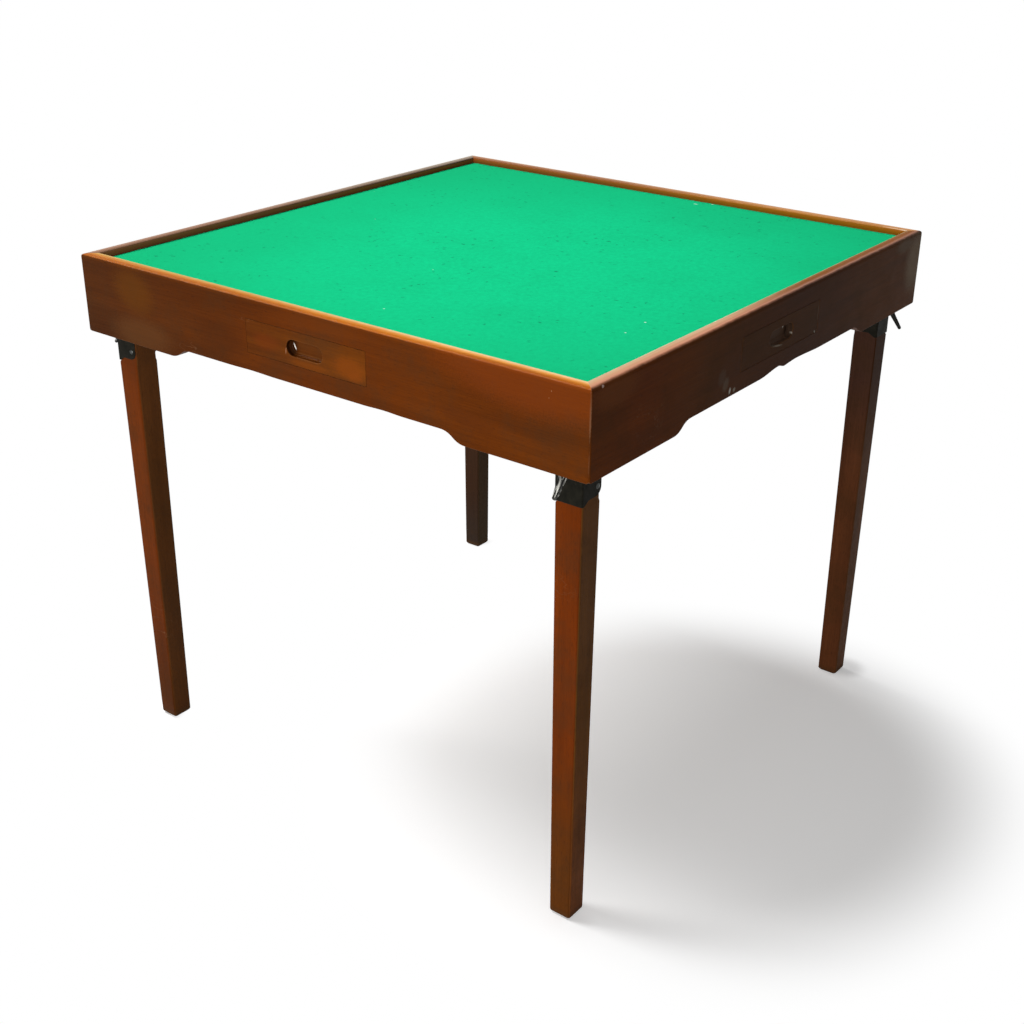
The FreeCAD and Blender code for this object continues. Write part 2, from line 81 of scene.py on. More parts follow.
def placeCamera():
    azimuth, elevation, roll = (
        math.radians(cameraView[name]) for name in ("azimuth", "elevation", "roll")
    )
    back = Vector((
        math.sin(azimuth) * math.cos(elevation),
        -math.cos(azimuth) * math.cos(elevation),
        math.sin(elevation),
    ))
    level = Vector((math.cos(azimuth), math.sin(azimuth), 0))
    upright = back.cross(level)
    across = level * math.cos(roll) + upright * math.sin(roll)
    upwards = upright * math.cos(roll) - level * math.sin(roll)
    data = bpy.data.cameras.new("camera")
    data.lens = cameraView["lens"]
    data.clip_end = cameraView["reach"]
    eye = newObject("camera", data)
    turn = Matrix((across, upwards, back)).transposed().to_4x4()
    eye.matrix_world = Matrix.Translation(cameraView["place"]) @ turn
    bpy.context.scene.camera = eye
    bpy.context.scene.view_settings.view_transform = "Standard"


drawing = {}  # "tree" is the node tree that the next nodes are added to


def plug(socket, value):  # links a socket or sets a plain value
    if isinstance(value, bpy.types.NodeSocket):
        socket.id_data.links.new(value, socket)
    else:
        socket.default_value = (*value, 1) if socket.type == "RGBA" else value


def addNode(kind, inputs=None, **settings):  # the kind is its type without ShaderNode
    made = drawing["tree"].nodes.new("ShaderNode" + kind)
    for name, value in settings.items():
        setattr(made, name, value)
    for name, value in (inputs or {}).items():
        plug(made.inputs[name], value)
    return made


def mathNode(operation, first, second=0.0, third=0.0, clamp=False):
    inputs = {0: first, 1: second, 2: third}
    return addNode("Math", inputs, operation=operation, use_clamp=clamp).outputs[0]


def product(first, second):
    return mathNode("MULTIPLY", first, second)


def difference(first, second):
    return mathNode("SUBTRACT", first, second)


def scaledSum(first, second, third, clamp=False):  # first times second, plus third
    return mathNode("MULTIPLY_ADD", first, second, third, clamp)


def ramp(value, low, high, start=0.0, end=1.0):  # smooth step between low and high
    inputs = {"Value": value, "From Min": low, "From Max": high, "To Min": start, "To Max": end}
    return addNode("MapRange", inputs, interpolation_type="SMOOTHSTEP").outputs["Result"]


def mixColor(factor, first, second, blend="MIX"):
    made = addNode("Mix", data_type="RGBA", blend_type=blend)
    for index, value in ((0, factor), (6, first), (7, second)):
        plug(made.inputs[index], value)
    return made.outputs[2]


def tinted(color, tone):
    return mixColor(1.0, color, tone, "MULTIPLY")


def tintAlong(value, stops):  # colour that changes with a value from 0 to 1
    made = addNode("ValToRGB", {"Fac": value})
    elements = made.color_ramp.elements
    for index, (place, tone) in enumerate(stops):
        element = elements[index] if index < 2 else elements.new(place)
        element.position = place
        element.color = (*tone, 1)
    return made.outputs["Color"]


def noiseAt(vector, scale, detail=3.0, roughness=0.5, distortion=0.0):
    return addNode("TexNoise", {
        "Vector": vector, "Scale": scale, "Detail": detail,
        "Roughness": roughness, "Distortion": distortion,
    }).outputs[0]


def stretched(vector, scale, location=(0, 0, 0), rotation=(0, 0, 0)):
    inputs = {"Vector": vector, "Scale": scale, "Location": location, "Rotation": rotation}
    return addNode("Mapping", inputs).outputs[0]


def distanceTo(vector, place):
    inputs = {0: vector, 1: place}
    return addNode("VectorMath", inputs, operation="DISTANCE").outputs["Value"]


def distanceInside(vector, place, size, turn=(0, 0, 0)):  # 1 on the skin of an ellipsoid
    inputs = {"Vector": vector, "Location": place, "Rotation": turn, "Scale": size}
    inside = addNode("Mapping", inputs, vector_type="TEXTURE").outputs[0]
    return distanceTo(inside, (0, 0, 0))


def attributeOf(name):
    return addNode("Attribute", attribute_name=name).outputs["Fac"]


socketKinds = {  # of the groups; all others are numbers
    "Vector": "Vector", "Light": "Color", "Dark": "Color", "Pore": "Color", "Color": "Color",
}


def newGroup(name, inputs, outputs):
    tree = drawing["tree"] = bpy.data.node_groups.new(name, "ShaderNodeTree")
    for way, labels in (("INPUT", inputs), ("OUTPUT", outputs)):
        for label in labels:
            kind = "NodeSocket" + socketKinds.get(label, "Float")
            tree.interface.new_socket(label, in_out=way, socket_type=kind)
    return tree.nodes.new("NodeGroupInput").outputs, tree.nodes.new("NodeGroupOutput")


def giveOut(result, **sockets):  # what a group puts out
    for name, socket in sockets.items():
        plug(result.inputs[name], socket)
    return result.id_data


def useGroup(group, inputs):
    return addNode("Group", inputs, node_tree=groups[group]).outputs


studio = {
    "aim": (0, 0, 0.5),  # where both lights point
    "keyPlace": (-3.2, -0.5, 5.0),
    "keySize": 3.2,
    "keyPower": 355,
    "fillPlace": (0.35, -2.1, 0.85),
    "fillSize": 0.9,
    "fillPower": 21.5,
    "ambient": 0.19,  # strength of the world on the object
    "floorHalf": 16,
    "floorTone": 0.95,
    "floorBounce": 0.4,  # tone of the floor for the light that it throws back
    "floorLift": 0.235,  # light that the floor itself gives to the camera
    "poolPlace": (0.301, -0.02, 0),  # middle of the shadow on the floor
    "poolHalf": (0.53, 0.493, 1),  # the floor is white outside this ellipse
    "poolTurn": (0, 0, 0.83),
    "poolStart": 0.584,  # share of the ellipse where the floor starts to whiten
    "footPlace": (0.375, 0.375, 0),  # the feet keep their own shadows
    "footFade": (0.012, 0.04),
}


def areaLight(name, place, size, power, shadow=True):
    data = bpy.data.lights.new(name, "AREA")
    data.use_shadow = shadow
    data.size = size
    data.energy = power
    lamp = newObject(name, data)
    lamp.location = place
    towards = Vector(studio["aim"]) - Vector(place)
    lamp.rotation_euler = towards.to_track_quat("-Z", "Y").to_euler()


def seenDirectly():  # 1 for what the camera, a mirror or clear glass shows
    ray = addNode("LightPath").outputs
    seen = mathNode("ADD", ray["Is Camera Ray"], ray["Is Glossy Ray"])
    return mathNode("ADD", seen, ray["Is Transmission Ray"], clamp=True)


def floorFinish():  # pale floor that can be looked through from below
    finish = bpy.data.materials.new("paleFloor")
    finish.use_nodes = True
    drawing["tree"] = finish.node_tree
    finish.node_tree.nodes.clear()
    here = addNode("TexCoord").outputs["Object"]
    pool = distanceInside(here, studio["poolPlace"], studio["poolHalf"], studio["poolTurn"])
    fade = ramp(pool, studio["poolStart"], 1.0)
    anyCorner = addNode("VectorMath", {0: here}, operation="ABSOLUTE").outputs[0]
    clear = ramp(distanceTo(anyCorner, studio["footPlace"]), *studio["footFade"])
    seen = seenDirectly()
    shown = studio["floorTone"] - studio["floorBounce"]
    tone = scaledSum(seen, shown, studio["floorBounce"])
    glow = product(seen, studio["floorLift"])
    matt = addNode("BsdfDiffuse", {"Color": tone}).outputs[0]
    lift = addNode("Emission", {"Strength": glow}).outputs[0]
    near = addNode("AddShader", {0: matt, 1: lift}).outputs[0]
    whiteness = product(product(fade, clear), seen)
    white = addNode("Emission", {"Color": (1, 1, 1), "Strength": 1.0}).outputs[0]
    cover = addNode("MixShader", {0: whiteness, 1: near, 2: white}).outputs[0]
    below = addNode("NewGeometry").outputs["Backfacing"]
    through = addNode("BsdfTransparent").outputs[0]
    oneWay = addNode("MixShader", {0: below, 1: cover, 2: through}).outputs[0]
    addNode("OutputMaterial", {"Surface": oneWay})
    return finish


def placeStudio():
    areaLight("keyLight", studio["keyPlace"], studio["keySize"], studio["keyPower"])
    areaLight("fillLight", studio["fillPlace"], studio["fillSize"], studio["fillPower"], False)
    world = bpy.data.worlds.new("studio")
    world.use_nodes = True
    drawing["tree"] = world.node_tree
    sky = world.node_tree.nodes["Background"].inputs
    plug(sky["Color"], (1, 1, 1))
    plug(sky["Strength"], ramp(seenDirectly(), 0.0, 1.0, studio["ambient"], 1.0))
    bpy.context.scene.world = world
    bm = bmesh.new()
    bmesh.ops.create_grid(bm, x_segments=1, y_segments=1, size=studio["floorHalf"])
    mesh = bpy.data.meshes.new("floor")
    bm.to_mesh(mesh)
    bm.free()
    mesh.materials.append(floorFinish())
    floor = newObject("floor", mesh)


placeCamera()
placeStudio()
print("camera, lights and floor placed")


def grainGroup():  # wood with its grain along X: broad figure, ribbon streaks, short open pores
    given, result = newGroup(
        "woodGrain", ("Vector", "Light", "Dark", "Pore", "Figure", "Pores"),
        ("Color", "Height", "Dullness"),
    )
    vector = given["Vector"]
    wander = noiseAt(stretched(vector, (2.2, 5, 5)), 1.0, 3, 0.55)
    broad = noiseAt(stretched(vector, (1.3, 17, 17)), 1.0, 5, 0.6, 0.9)
    ribbon = noiseAt(stretched(vector, (3.5, 95, 95)), 1.0, 4, 0.62, 0.35)
    streak = noiseAt(stretched(vector, (14, 620, 620)), 1.0, 2, 0.5)
    pore = noiseAt(stretched(vector, (110, 1500, 1500)), 1.0, 1, 0.4)
    figure = product(ramp(broad, 0.3, 0.7), 0.44)
    figure = scaledSum(ramp(ribbon, 0.28, 0.72), 0.16, figure)
    figure = scaledSum(ramp(wander, 0.3, 0.7), 0.4, figure)
    spread = scaledSum(difference(figure, 0.5), given["Figure"], 0.5, clamp=True)
    color = mixColor(spread, given["Dark"], given["Light"])
    thread = mathNode("ADD", 1.0, ramp(streak, 0.35, 0.65, -0.06, 0.06))
    color = tinted(color, thread)
    openPore = product(ramp(pore, 0.6, 0.72), given["Pores"])
    color = mixColor(openPore, color, given["Pore"])
    height = scaledSum(openPore, -0.6, product(streak, 0.4))
    dull = scaledSum(openPore, 0.25, ramp(wander, 0.25, 0.75, -0.05, 0.07))
    return giveOut(result, Color=color, Height=height, Dullness=dull)


def wearGroup():  # rubbed edges, patches of fine scratches, and grime
    given, result = newGroup(
        "wear", ("Vector", "Edge", "Amount"), ("Rubbed", "Scratch", "Grime", "Height"),
    )
    vector, amount = given["Vector"], given["Amount"]
    uneven = scaledSum(noiseAt(vector, 38, 5, 0.65), 1.4, -0.35)
    rubbed = mathNode("MULTIPLY", given["Edge"], uneven, clamp=True)
    rubbed = mathNode("MULTIPLY", rubbed, amount, clamp=True)
    slanted = stretched(vector, (9, 31, 24), rotation=(0.3, 0.7, 0.4))
    line = difference(noiseAt(slanted, 1.0, 4, 0.5), 0.5)
    line = ramp(mathNode("ABSOLUTE", line), 0.0, 0.0035, 1.0, 0.0)
    where = ramp(noiseAt(vector, 9, 3), 0.58, 0.72)
    scratch = product(product(line, where), amount)
    grime = ramp(noiseAt(vector, 13, 6, 0.7), 0.42, 0.72)
    height = product(scratch, -1.0)
    return giveOut(result, Rubbed=rubbed, Scratch=scratch, Grime=grime, Height=height)


def speckGroup():  # small soft dots strewn over a surface, each with its own size
    given, result = newGroup("specks", ("Vector", "Scale", "Share", "Size"), ("Mask",))
    inputs = {"Vector": given["Vector"], "Scale": given["Scale"]}
    cells = addNode("TexVoronoi", inputs).outputs
    pick = addNode("SeparateColor", {"Color": cells["Color"]}).outputs
    chosen = mathNode("LESS_THAN", pick[0], given["Share"])
    radius = product(given["Size"], mathNode("ADD", pick[1], 0.35))
    dot = ramp(mathNode("DIVIDE", cells["Distance"], radius), 0.55, 1.0, 1.0, 0.0)
    return giveOut(result, Mask=product(dot, chosen))


groups = {"grain": grainGroup(), "wear": wearGroup(), "specks": speckGroup()}
finishes = {}


def newFinish(name):
    finish = finishes[name] = bpy.data.materials.new(name)
    finish.use_nodes = True
    drawing["tree"] = finish.node_tree
    here = addNode("TexCoord").outputs["Object"]
    return finish.node_tree.nodes["Principled BSDF"], here


def bumpOf(height, distance, strength=1.0):
    inputs = {"Height": height, "Distance": distance, "Strength": strength}
    return addNode("Bump", inputs).outputs[0]


def setShader(shader, **values):  # Base_Color is the socket named Base Color
    for name, value in values.items():
        plug(shader.inputs[name.replace("_", " ")], value)


varnish = {
    "light": (0.187, 0.041, 0.0048),
    "dark": (0.082, 0.018, 0.0027),
    "pore": (0.018, 0.006, 0.003),
    "grime": (0.058, 0.027, 0.01),
    "bare": (0.4, 0.17, 0.055),  # wood where the varnish is rubbed off
    "scratched": (0.3, 0.16, 0.08),
    "figure": 0.95,
    "drawerFigure": 1.05,
    "openPores": 0.35,
    "edgeWear": 0.5,
    "wear": 0.8,
    "scratchShare": 0.4,
    "grimeShare": 0.42,
    "roughness": 0.33,
    "relief": 0.00022,
    "shine": {"Coat_Weight": 0.03, "Coat_Roughness": 0.12, "IOR": 1.07},
    "footWear": (0.012, 0.002),  # it grows from the first height down to the second
    "footGrime": (0.016, 0.002),
    "footGrimeShare": 0.6,
}

gloss = {  # of the boards, drawers and legs that shine less than the others
    "right": {"Coat_Weight": 0.02, "Specular_IOR_Level": 0.33},
    "back_right": {"Coat_Weight": 0.01, "Specular_IOR_Level": 0.3},
}

rimShape = {"top": 0.7, "outer": 0.4, "inner": 0.382}

boardTintsAndShade = {  # how the colour changes from the -X or -Y end of a board to the other end: partly varnish that differs along the board, partly painted shade, and a painted pale sheen at the far end of the right board
    "front": (
        (0.0, (0.69, 0.83, 1.0)), (0.2, (0.74, 0.8, 0.6)), (0.34, (0.74, 0.74, 0.4)),
        (0.5, (0.86, 0.82, 0.46)), (1.0, (1.0, 1.0, 0.42)),
    ),
    "right": (
        (0.0, (1.05, 1.11, 0.57)), (0.12, (1.06, 1.05, 0.56)), (0.28, (0.76, 0.96, 0.4)),
        (0.42, (0.6, 0.72, 0.32)), (0.55, (0.44, 0.51, 0.21)),
        (0.68, (0.48, 0.58, 0.24)), (0.8, (0.62, 0.8, 0.36)), (1.0, (0.78, 1.0, 0.6)),
    ),
    "back": ((0.0, (0.85, 0.85, 0.6)), (0.5, (1.0, 0.95, 0.6)), (1.0, (0.8, 0.85, 0.7))),
    "left": ((0.0, (0.9, 0.9, 0.6)), (0.5, (0.8, 0.85, 0.7)), (1.0, (0.95, 0.9, 0.6))),
}

drawerWoodAndShade = {  # light and dark wood of each front; the right front's is darkened as painted shade
    "front": ((0.205, 0.053, 0.0034), (0.098, 0.022, 0.0018)),
    "right": ((0.08, 0.025, 0.0024), (0.038, 0.0125, 0.0014)),
    "back": ((0.2, 0.052, 0.0036), (0.09, 0.022, 0.0018)),
    "left": ((0.2, 0.052, 0.0036), (0.09, 0.022, 0.0018)),
}

# worn rims: the flat top from its inner to its outer arris, at the end of the side that is nearer
# the front right corner and at the other end, in worn wood with painted highlights along the
# arrises and near the corners, and the upright face above the cloth, with painted light on the back
# and painted shade on the left
rims = {
    "front": {
        "near": (
            (0.0, (0.86, 0.68, 0.42)), (0.2, (0.88, 0.54, 0.25)), (0.38, (0.81, 0.36, 0.09)),
            (0.54, (0.69, 0.24, 0.022)), (0.72, (0.53, 0.155, 0.004)), (0.88, (0.44, 0.115, 0.004)),
            (1.0, (0.31, 0.068, 0.004)),
        ),
        "far": (
            (0.0, (0.54, 0.43, 0.17)), (0.22, (0.58, 0.32, 0.085)), (0.45, (0.55, 0.2, 0.022)),
            (0.65, (0.45, 0.125, 0.005)), (0.86, (0.35, 0.095, 0.006)), (1.0, (0.24, 0.06, 0.004)),
        ),
        "ends": (0.28, -0.26), "inside": ((0.4, 0.11, 0.02), (0.4, 0.11, 0.02)),
    },
    "right": {
        "near": (
            (0.0, (0.76, 0.64, 0.44)), (0.16, (0.66, 0.45, 0.27)), (0.45, (0.64, 0.34, 0.19)),
            (0.67, (0.63, 0.285, 0.175)), (0.8, (0.4, 0.17, 0.095)), (0.93, (0.1, 0.034, 0.016)),
        ),
        "far": (
            (0.0, (0.46, 0.42, 0.22)), (0.18, (0.29, 0.12, 0.036)), (0.42, (0.225, 0.07, 0.01)),
            (0.57, (0.28, 0.1, 0.036)), (0.72, (0.36, 0.17, 0.11)), (0.83, (0.2, 0.09, 0.06)),
            (0.92, (0.05, 0.02, 0.012)),
        ),
        "ends": (-0.16, 0.08), "inside": ((0.4, 0.11, 0.02), (0.4, 0.11, 0.02)),
    },
    "back": {
        "near": (
            (0.0, (0.46, 0.17, 0.03)), (0.3, (0.54, 0.24, 0.065)), (0.65, (0.6, 0.29, 0.12)),
            (1.0, (0.64, 0.34, 0.17)),
        ),
        "far": (
            (0.0, (0.24, 0.075, 0.018)), (0.35, (0.32, 0.13, 0.055)), (0.7, (0.5, 0.28, 0.16)),
            (1.0, (0.62, 0.42, 0.28)),
        ),
        "ends": (0.22, -0.2), "inside": ((0.48, 0.13, 0.009), (0.39, 0.1, 0.02)),
    },
    "left": {
        "near": (
            (0.0, (0.13, 0.06, 0.028)), (0.35, (0.26, 0.13, 0.075)), (0.7, (0.4, 0.24, 0.17)),
            (1.0, (0.52, 0.37, 0.29)),
        ),
        "far": (
            (0.0, (0.1, 0.06, 0.04)), (0.35, (0.24, 0.18, 0.13)), (0.7, (0.38, 0.31, 0.24)),
            (1.0, (0.48, 0.42, 0.35)),
        ),
        "ends": (-0.2, 0.25), "inside": ((0.27, 0.08, 0.032), (0.31, 0.08, 0.024)),
    },
}

rimWearAndHighlight = {
    "edge": (-0.002, -0.0009),  # how far below the top the worn wood and painted highlights end
    "wander": 0.001,
    "raggedness": 0.22,
    "insideDepth": (-0.012, -0.01),
    "rubbedShare": 0.5,
}

grooves = {
    # factors of painted shade (below 1) and painted light (above 1) at the left end, the middle and
    # the right end, and how much of the groove a painted grey-brown haze covers
    "front": (0.3, 1.15, 1.3, 0.0), "right": (0.9, 1.1, 0.45, 0.75),
    "back": (0.5, 0.8, 0.8, 0.0), "left": (0.5, 0.8, 0.8, 0.0),
    "grooveHaze": (0.11, 0.066, 0.044),
    "level": 0.6535,
    "halves": (0.03, 0.015),  # half length and half height
    "soft": 0.001,
    "depths": ((0.3999, 0.399), (0.391, 0.3917)),  # where the shade starts and ends
    "leftEnd": (-0.025, -0.014),
    "rightEnd": (0.019, 0.023),
}

# marks on the surfaces: place, half sizes, turn about the outward axis, colour, strength; those
# noted below are painted highlights, sheen and light, the others are scuffs, scratches, blotches,
# figure and lint
marksAndHighlights = {
    "front": (
        ((0.3511, -0.4, 0.6873), (0.0009, 0.002, 0.0012), 0.3, (0.55, 0.33, 0.17), 0.6),
        ((0.3481, -0.4, 0.6791), (0.0008, 0.002, 0.001), 0.9, (0.5, 0.28, 0.14), 0.5),
        # pale strips down the near corner: painted highlight on the rounded arris
        ((0.3995, -0.4, 0.67), (0.0018, 0.006, 0.038), 0.0, (0.34, 0.17, 0.085), 0.6),
        ((0.3995, -0.4, 0.62), (0.0014, 0.006, 0.02), 0.0, (0.3, 0.13, 0.065), 0.35),
        ((-0.145, -0.4, 0.64), (0.06, 0.01, 0.03), 0.1, (0.06, 0.015, 0.0026), 0.4),
        ((-0.29, -0.4, 0.613), (0.075, 0.01, 0.03), 0.0, (0.15, 0.058, 0.017), 0.45),
        ((0.02, -0.4, 0.689), (0.11, 0.01, 0.011), 0.0, (0.175, 0.038, 0.003), 0.4),
        ((-0.3, -0.4, 0.668), (0.05, 0.01, 0.036), 0.2, (0.15, 0.046, 0.0034), 0.55),
        ((0.32, -0.4, 0.69), (0.17, 0.01, 0.046), 0.06, (0.232, 0.043, 0.005), 0.5),
        ((0.24, -0.4, 0.63), (0.06, 0.01, 0.012), 0.1, (0.09, 0.02, 0.0028), 0.4),
    ),
    "right": (
        ((0.4, -0.1185, 0.6164), (0.003, 0.003, 0.005), -0.2, (0.72, 0.68, 0.6), 0.85),
        ((0.4, -0.1084, 0.615), (0.003, 0.0036, 0.0036), 0.4, (0.4, 0.36, 0.28), 0.75),
        ((0.4, -0.129, 0.627), (0.003, 0.009, 0.011), -0.5, (0.17, 0.125, 0.085), 0.55),
        ((0.4, -0.138, 0.638), (0.003, 0.011, 0.013), -0.5, (0.12, 0.08, 0.055), 0.4),
        # painted highlights on the rim and down the near corner, painted light high up at the near
        # end, a painted sheen at the far end, and a painted glint on the rim's inner arris
        ((0.399, -0.3795, 0.6975), (0.004, 0.003, 0.0016), 0.2, (0.95, 0.7, 0.6), 0.9),
        ((0.4, -0.4, 0.672), (0.006, 0.0018, 0.034), 0.0, (0.32, 0.17, 0.1), 0.6),
        ((0.4, -0.355, 0.686), (0.006, 0.06, 0.024), 0.0, (0.21, 0.064, 0.015), 0.45),
        ((0.4, 0.388, 0.66), (0.006, 0.042, 0.056), 0.0, (0.22, 0.157, 0.096), 0.8),
        ((0.4, 0.345, 0.69), (0.006, 0.034, 0.014), 0.0, (0.16, 0.12, 0.078), 0.5),
        ((0.383, -0.133, 0.7), (0.0014, 0.0026, 0.003), 0.0, (1.0, 0.95, 0.85), 0.9),
    ),
    "back": (
        # painted highlights on the inner arris near the right corner
        ((0.364, 0.3848, 0.7), (0.022, 0.0011, 0.003), 0.0, (1.0, 0.86, 0.66), 0.9),
        ((0.379, 0.3846, 0.7), (0.007, 0.0018, 0.003), 0.0, (1.0, 0.9, 0.72), 0.9),
    ),
    "frontDrawer": (
        ((0.07, -0.4, 0.648), (0.034, 0.02, 0.0175), 0.0, (0.22, 0.05, 0.0036), 0.8),
        ((0.08, -0.4, 0.639), (0.016, 0.02, 0.008), 0.0, (0.25, 0.054, 0.004), 0.35),
        ((0.006, -0.4, 0.637), (0.045, 0.02, 0.006), 0.0, (0.215, 0.05, 0.0036), 0.55),
        ((-0.062, -0.4, 0.652), (0.03, 0.02, 0.014), 0.0, (0.19, 0.033, 0.0028), 0.4),
        # a painted highlight in the left end of the finger groove, and one on its lower lip
        ((-0.0225, -0.394, 0.6525), (0.0015, 0.012, 0.0056), -0.42, (1.0, 0.95, 0.87), 1.0),
        ((-0.03, -0.4, 0.648), (0.001, 0.004, 0.005), 0.15, (0.5, 0.26, 0.15), 0.5),
    ),
    "rightDrawer": (
        # painted highlights on the lips of the finger groove and down the right edge of the front
        ((0.396, 0.017, 0.658), (0.012, 0.0024, 0.0036), -0.3, (0.8, 0.76, 0.66), 0.9),
        ((0.4, 0.027, 0.65), (0.006, 0.0016, 0.0046), 0.2, (0.42, 0.38, 0.31), 0.8),
        ((0.4, -0.008, 0.6415), (0.01, 0.016, 0.0016), -0.15, (0.3, 0.25, 0.19), 0.7),
        ((0.4, 0.0887, 0.6344), (0.003, 0.003, 0.0018), -0.8, (0.42, 0.38, 0.31), 0.8),
        ((0.4, 0.094, 0.659), (0.003, 0.0008, 0.017), 0.0, (0.2, 0.155, 0.115), 0.5),
    ),
    "cloth": (
        ((0.059, 0.364, 0.692), (0.0045, 0.0014, 0.01), 0.2, (0.8, 0.95, 0.88), 0.95),
        ((0.0797, 0.3778, 0.692), (0.003, 0.0016, 0.01), 0.0, (0.8, 0.9, 0.8), 0.95),
        ((0.311, -0.165, 0.692), (0.0019, 0.0016, 0.01), 0.0, (0.8, 0.95, 0.88), 0.95),
        ((0.314, -0.21, 0.692), (0.0017, 0.0015, 0.01), 0.0, (0.8, 0.95, 0.88), 0.95),
        ((0.0455, -0.3122, 0.692), (0.0015, 0.0017, 0.01), 0.0, (0.6, 0.95, 0.8), 0.8),
        ((0.184, -0.325, 0.692), (0.0026, 0.0015, 0.01), 0.3, (0.01, 0.16, 0.08), 0.85),
        ((-0.2127, -0.0523, 0.692), (0.0026, 0.0018, 0.01), 0.7, (0.02, 0.2, 0.1), 0.75),
    ),
}

markEdge = {"scale": 420, "raggedness": 0.7, "inset": 0.35, "core": 0.35}


# paints the marks, among them the painted highlights, sheen and light
def paintMarksAndHighlights(here, piece, color):
    uneven = noiseAt(here, markEdge["scale"], 3, 0.6)
    for place, size, turn, tone, strength in marksAndHighlights.get(piece, ()):
        if piece == "cloth":
            around = (0, 0, turn)
        else:
            around = (0, turn, 0) if piece.startswith("front") else (turn, 0, 0)
        away = difference(distanceInside(here, place, size, around), markEdge["inset"])
        away = scaledSum(uneven, markEdge["raggedness"], away)
        mask = ramp(away, 1.0, markEdge["core"], 0.0, strength)
        color = mixColor(mask, color, tone)
    return color


def paintRimWearAndHighlights(here, spot, along, side, color):
    tones = rims[side]
    across, run = axesOf(side)
    uneven = difference(noiseAt(here, 60, 4, 0.65), 0.5)
    inwards = difference(mathNode("ABSOLUTE", spot[across]), rimShape["inner"])
    level = difference(spot["Z"], rimShape["top"])
    share = mathNode("DIVIDE", inwards, rimShape["outer"] - rimShape["inner"])
    share = scaledSum(uneven, rimWearAndHighlight["raggedness"], share, clamp=True)
    end = ramp(spot[run], *tones["ends"])
    # worn wood of the flat top with painted highlights along its arrises
    flat = mixColor(end, *(tintAlong(share, tones[part]) for part in ("near", "far")))
    streak = noiseAt(stretched(along, (6, 300, 300)), 1.0, 3)
    top = ramp(scaledSum(uneven, rimWearAndHighlight["wander"], level), *rimWearAndHighlight["edge"])
    worn = product(top, ramp(streak, 0.3, 0.6, 0.84, 1.0))
    inside = product(ramp(inwards, 0.001, 0.0005), ramp(level, *rimWearAndHighlight["insideDepth"]))
    # upright face above the cloth, in painted light and shade
    upright = mixColor(end, *tones["inside"])
    color = mixColor(inside, color, upright)
    return mixColor(worn, color, flat), product(worn, rimWearAndHighlight["rubbedShare"])


def paintGrooveLightAndShade(spot, side, color):
    across, run = axesOf(side)
    out, length = (mathNode("ABSOLUTE", spot[axis]) for axis in (across, run))
    level = mathNode("ABSOLUTE", difference(spot["Z"], grooves["level"]))
    deep = product(*(ramp(out, *depths) for depths in grooves["depths"]))
    for away, half in zip((length, level), grooves["halves"]):
        deep = product(deep, ramp(away, half + grooves["soft"], half))
    left, middle, right, hazeShare = grooves[side]
    rightwards = product(spot[run], 1 if side in ("front", "right") else -1)
    # painted shade and light along the groove, over a painted grey-brown haze where one is given
    shade = ramp(rightwards, *grooves["leftEnd"], left, middle)
    rightEnd = ramp(rightwards, *grooves["rightEnd"], 1.0, right / middle)
    inside = mixColor(hazeShare, color, grooves["grooveHaze"]) if hazeShare else color
    inside = tinted(inside, product(shade, rightEnd))
    return mixColor(deep, color, inside)


# wood of each leg on its faces towards -Y and +X, below and above the two heights, with painted
# light and shade that change by face and height, the back legs painted darker as in shade; the
# other two faces have the wood of the aprons
legWoodAndShade = {
    "front_right": {
        "low": ((0.15, 0.041, 0.0036), (0.31, 0.09, 0.016)),
        "high": ((0.222, 0.039, 0.0024), (0.215, 0.08, 0.0145)), "heights": (0.05, 0.3),
    },
    "back_right": {
        "low": ((0.2, 0.064, 0.022), (0.24, 0.09, 0.028)),
        "high": ((0.086, 0.038, 0.024), (0.074, 0.022, 0.004)), "heights": (0.3, 0.52),
    },
    "back_left": {
        "low": ((0.06, 0.038, 0.026), (0.078, 0.048, 0.022)),
        "high": ((0.066, 0.029, 0.014), (0.072, 0.038, 0.015)), "heights": (0.01, 0.13),
    },
    "front_left": {
        "low": ((0.148, 0.036, 0.0034), (0.165, 0.052, 0.0085)),
        "high": ((0.196, 0.039, 0.0036), (0.16, 0.055, 0.0125)), "heights": (0.02, 0.17),
    },
    "soft": 0.0006,  # half the width over which two faces blend
    "darker": (0.46, 0.46, 0.52),  # dark wood, against the light wood
}


def legToneWithShade(spot, corner):  # light wood of a leg with painted light and shade, by face and height
    middle = cornerTurn(corners.index(corner)) @ Vector((legCentre, -legCentre, 0))
    soft = legWoodAndShade["soft"]
    right, outer = (
        ramp(mathNode(operation, spot["X"], spot["Y"]), place - soft, place + soft)
        for operation, place in (("ADD", middle.x + middle.y), ("SUBTRACT", middle.x - middle.y))
    )
    low, high = (mixColor(right, *legWoodAndShade[corner][part]) for part in ("low", "high"))
    raised = ramp(spot["Z"], *legWoodAndShade[corner]["heights"])
    return mixColor(outer, varnish["light"], mixColor(raised, low, high))


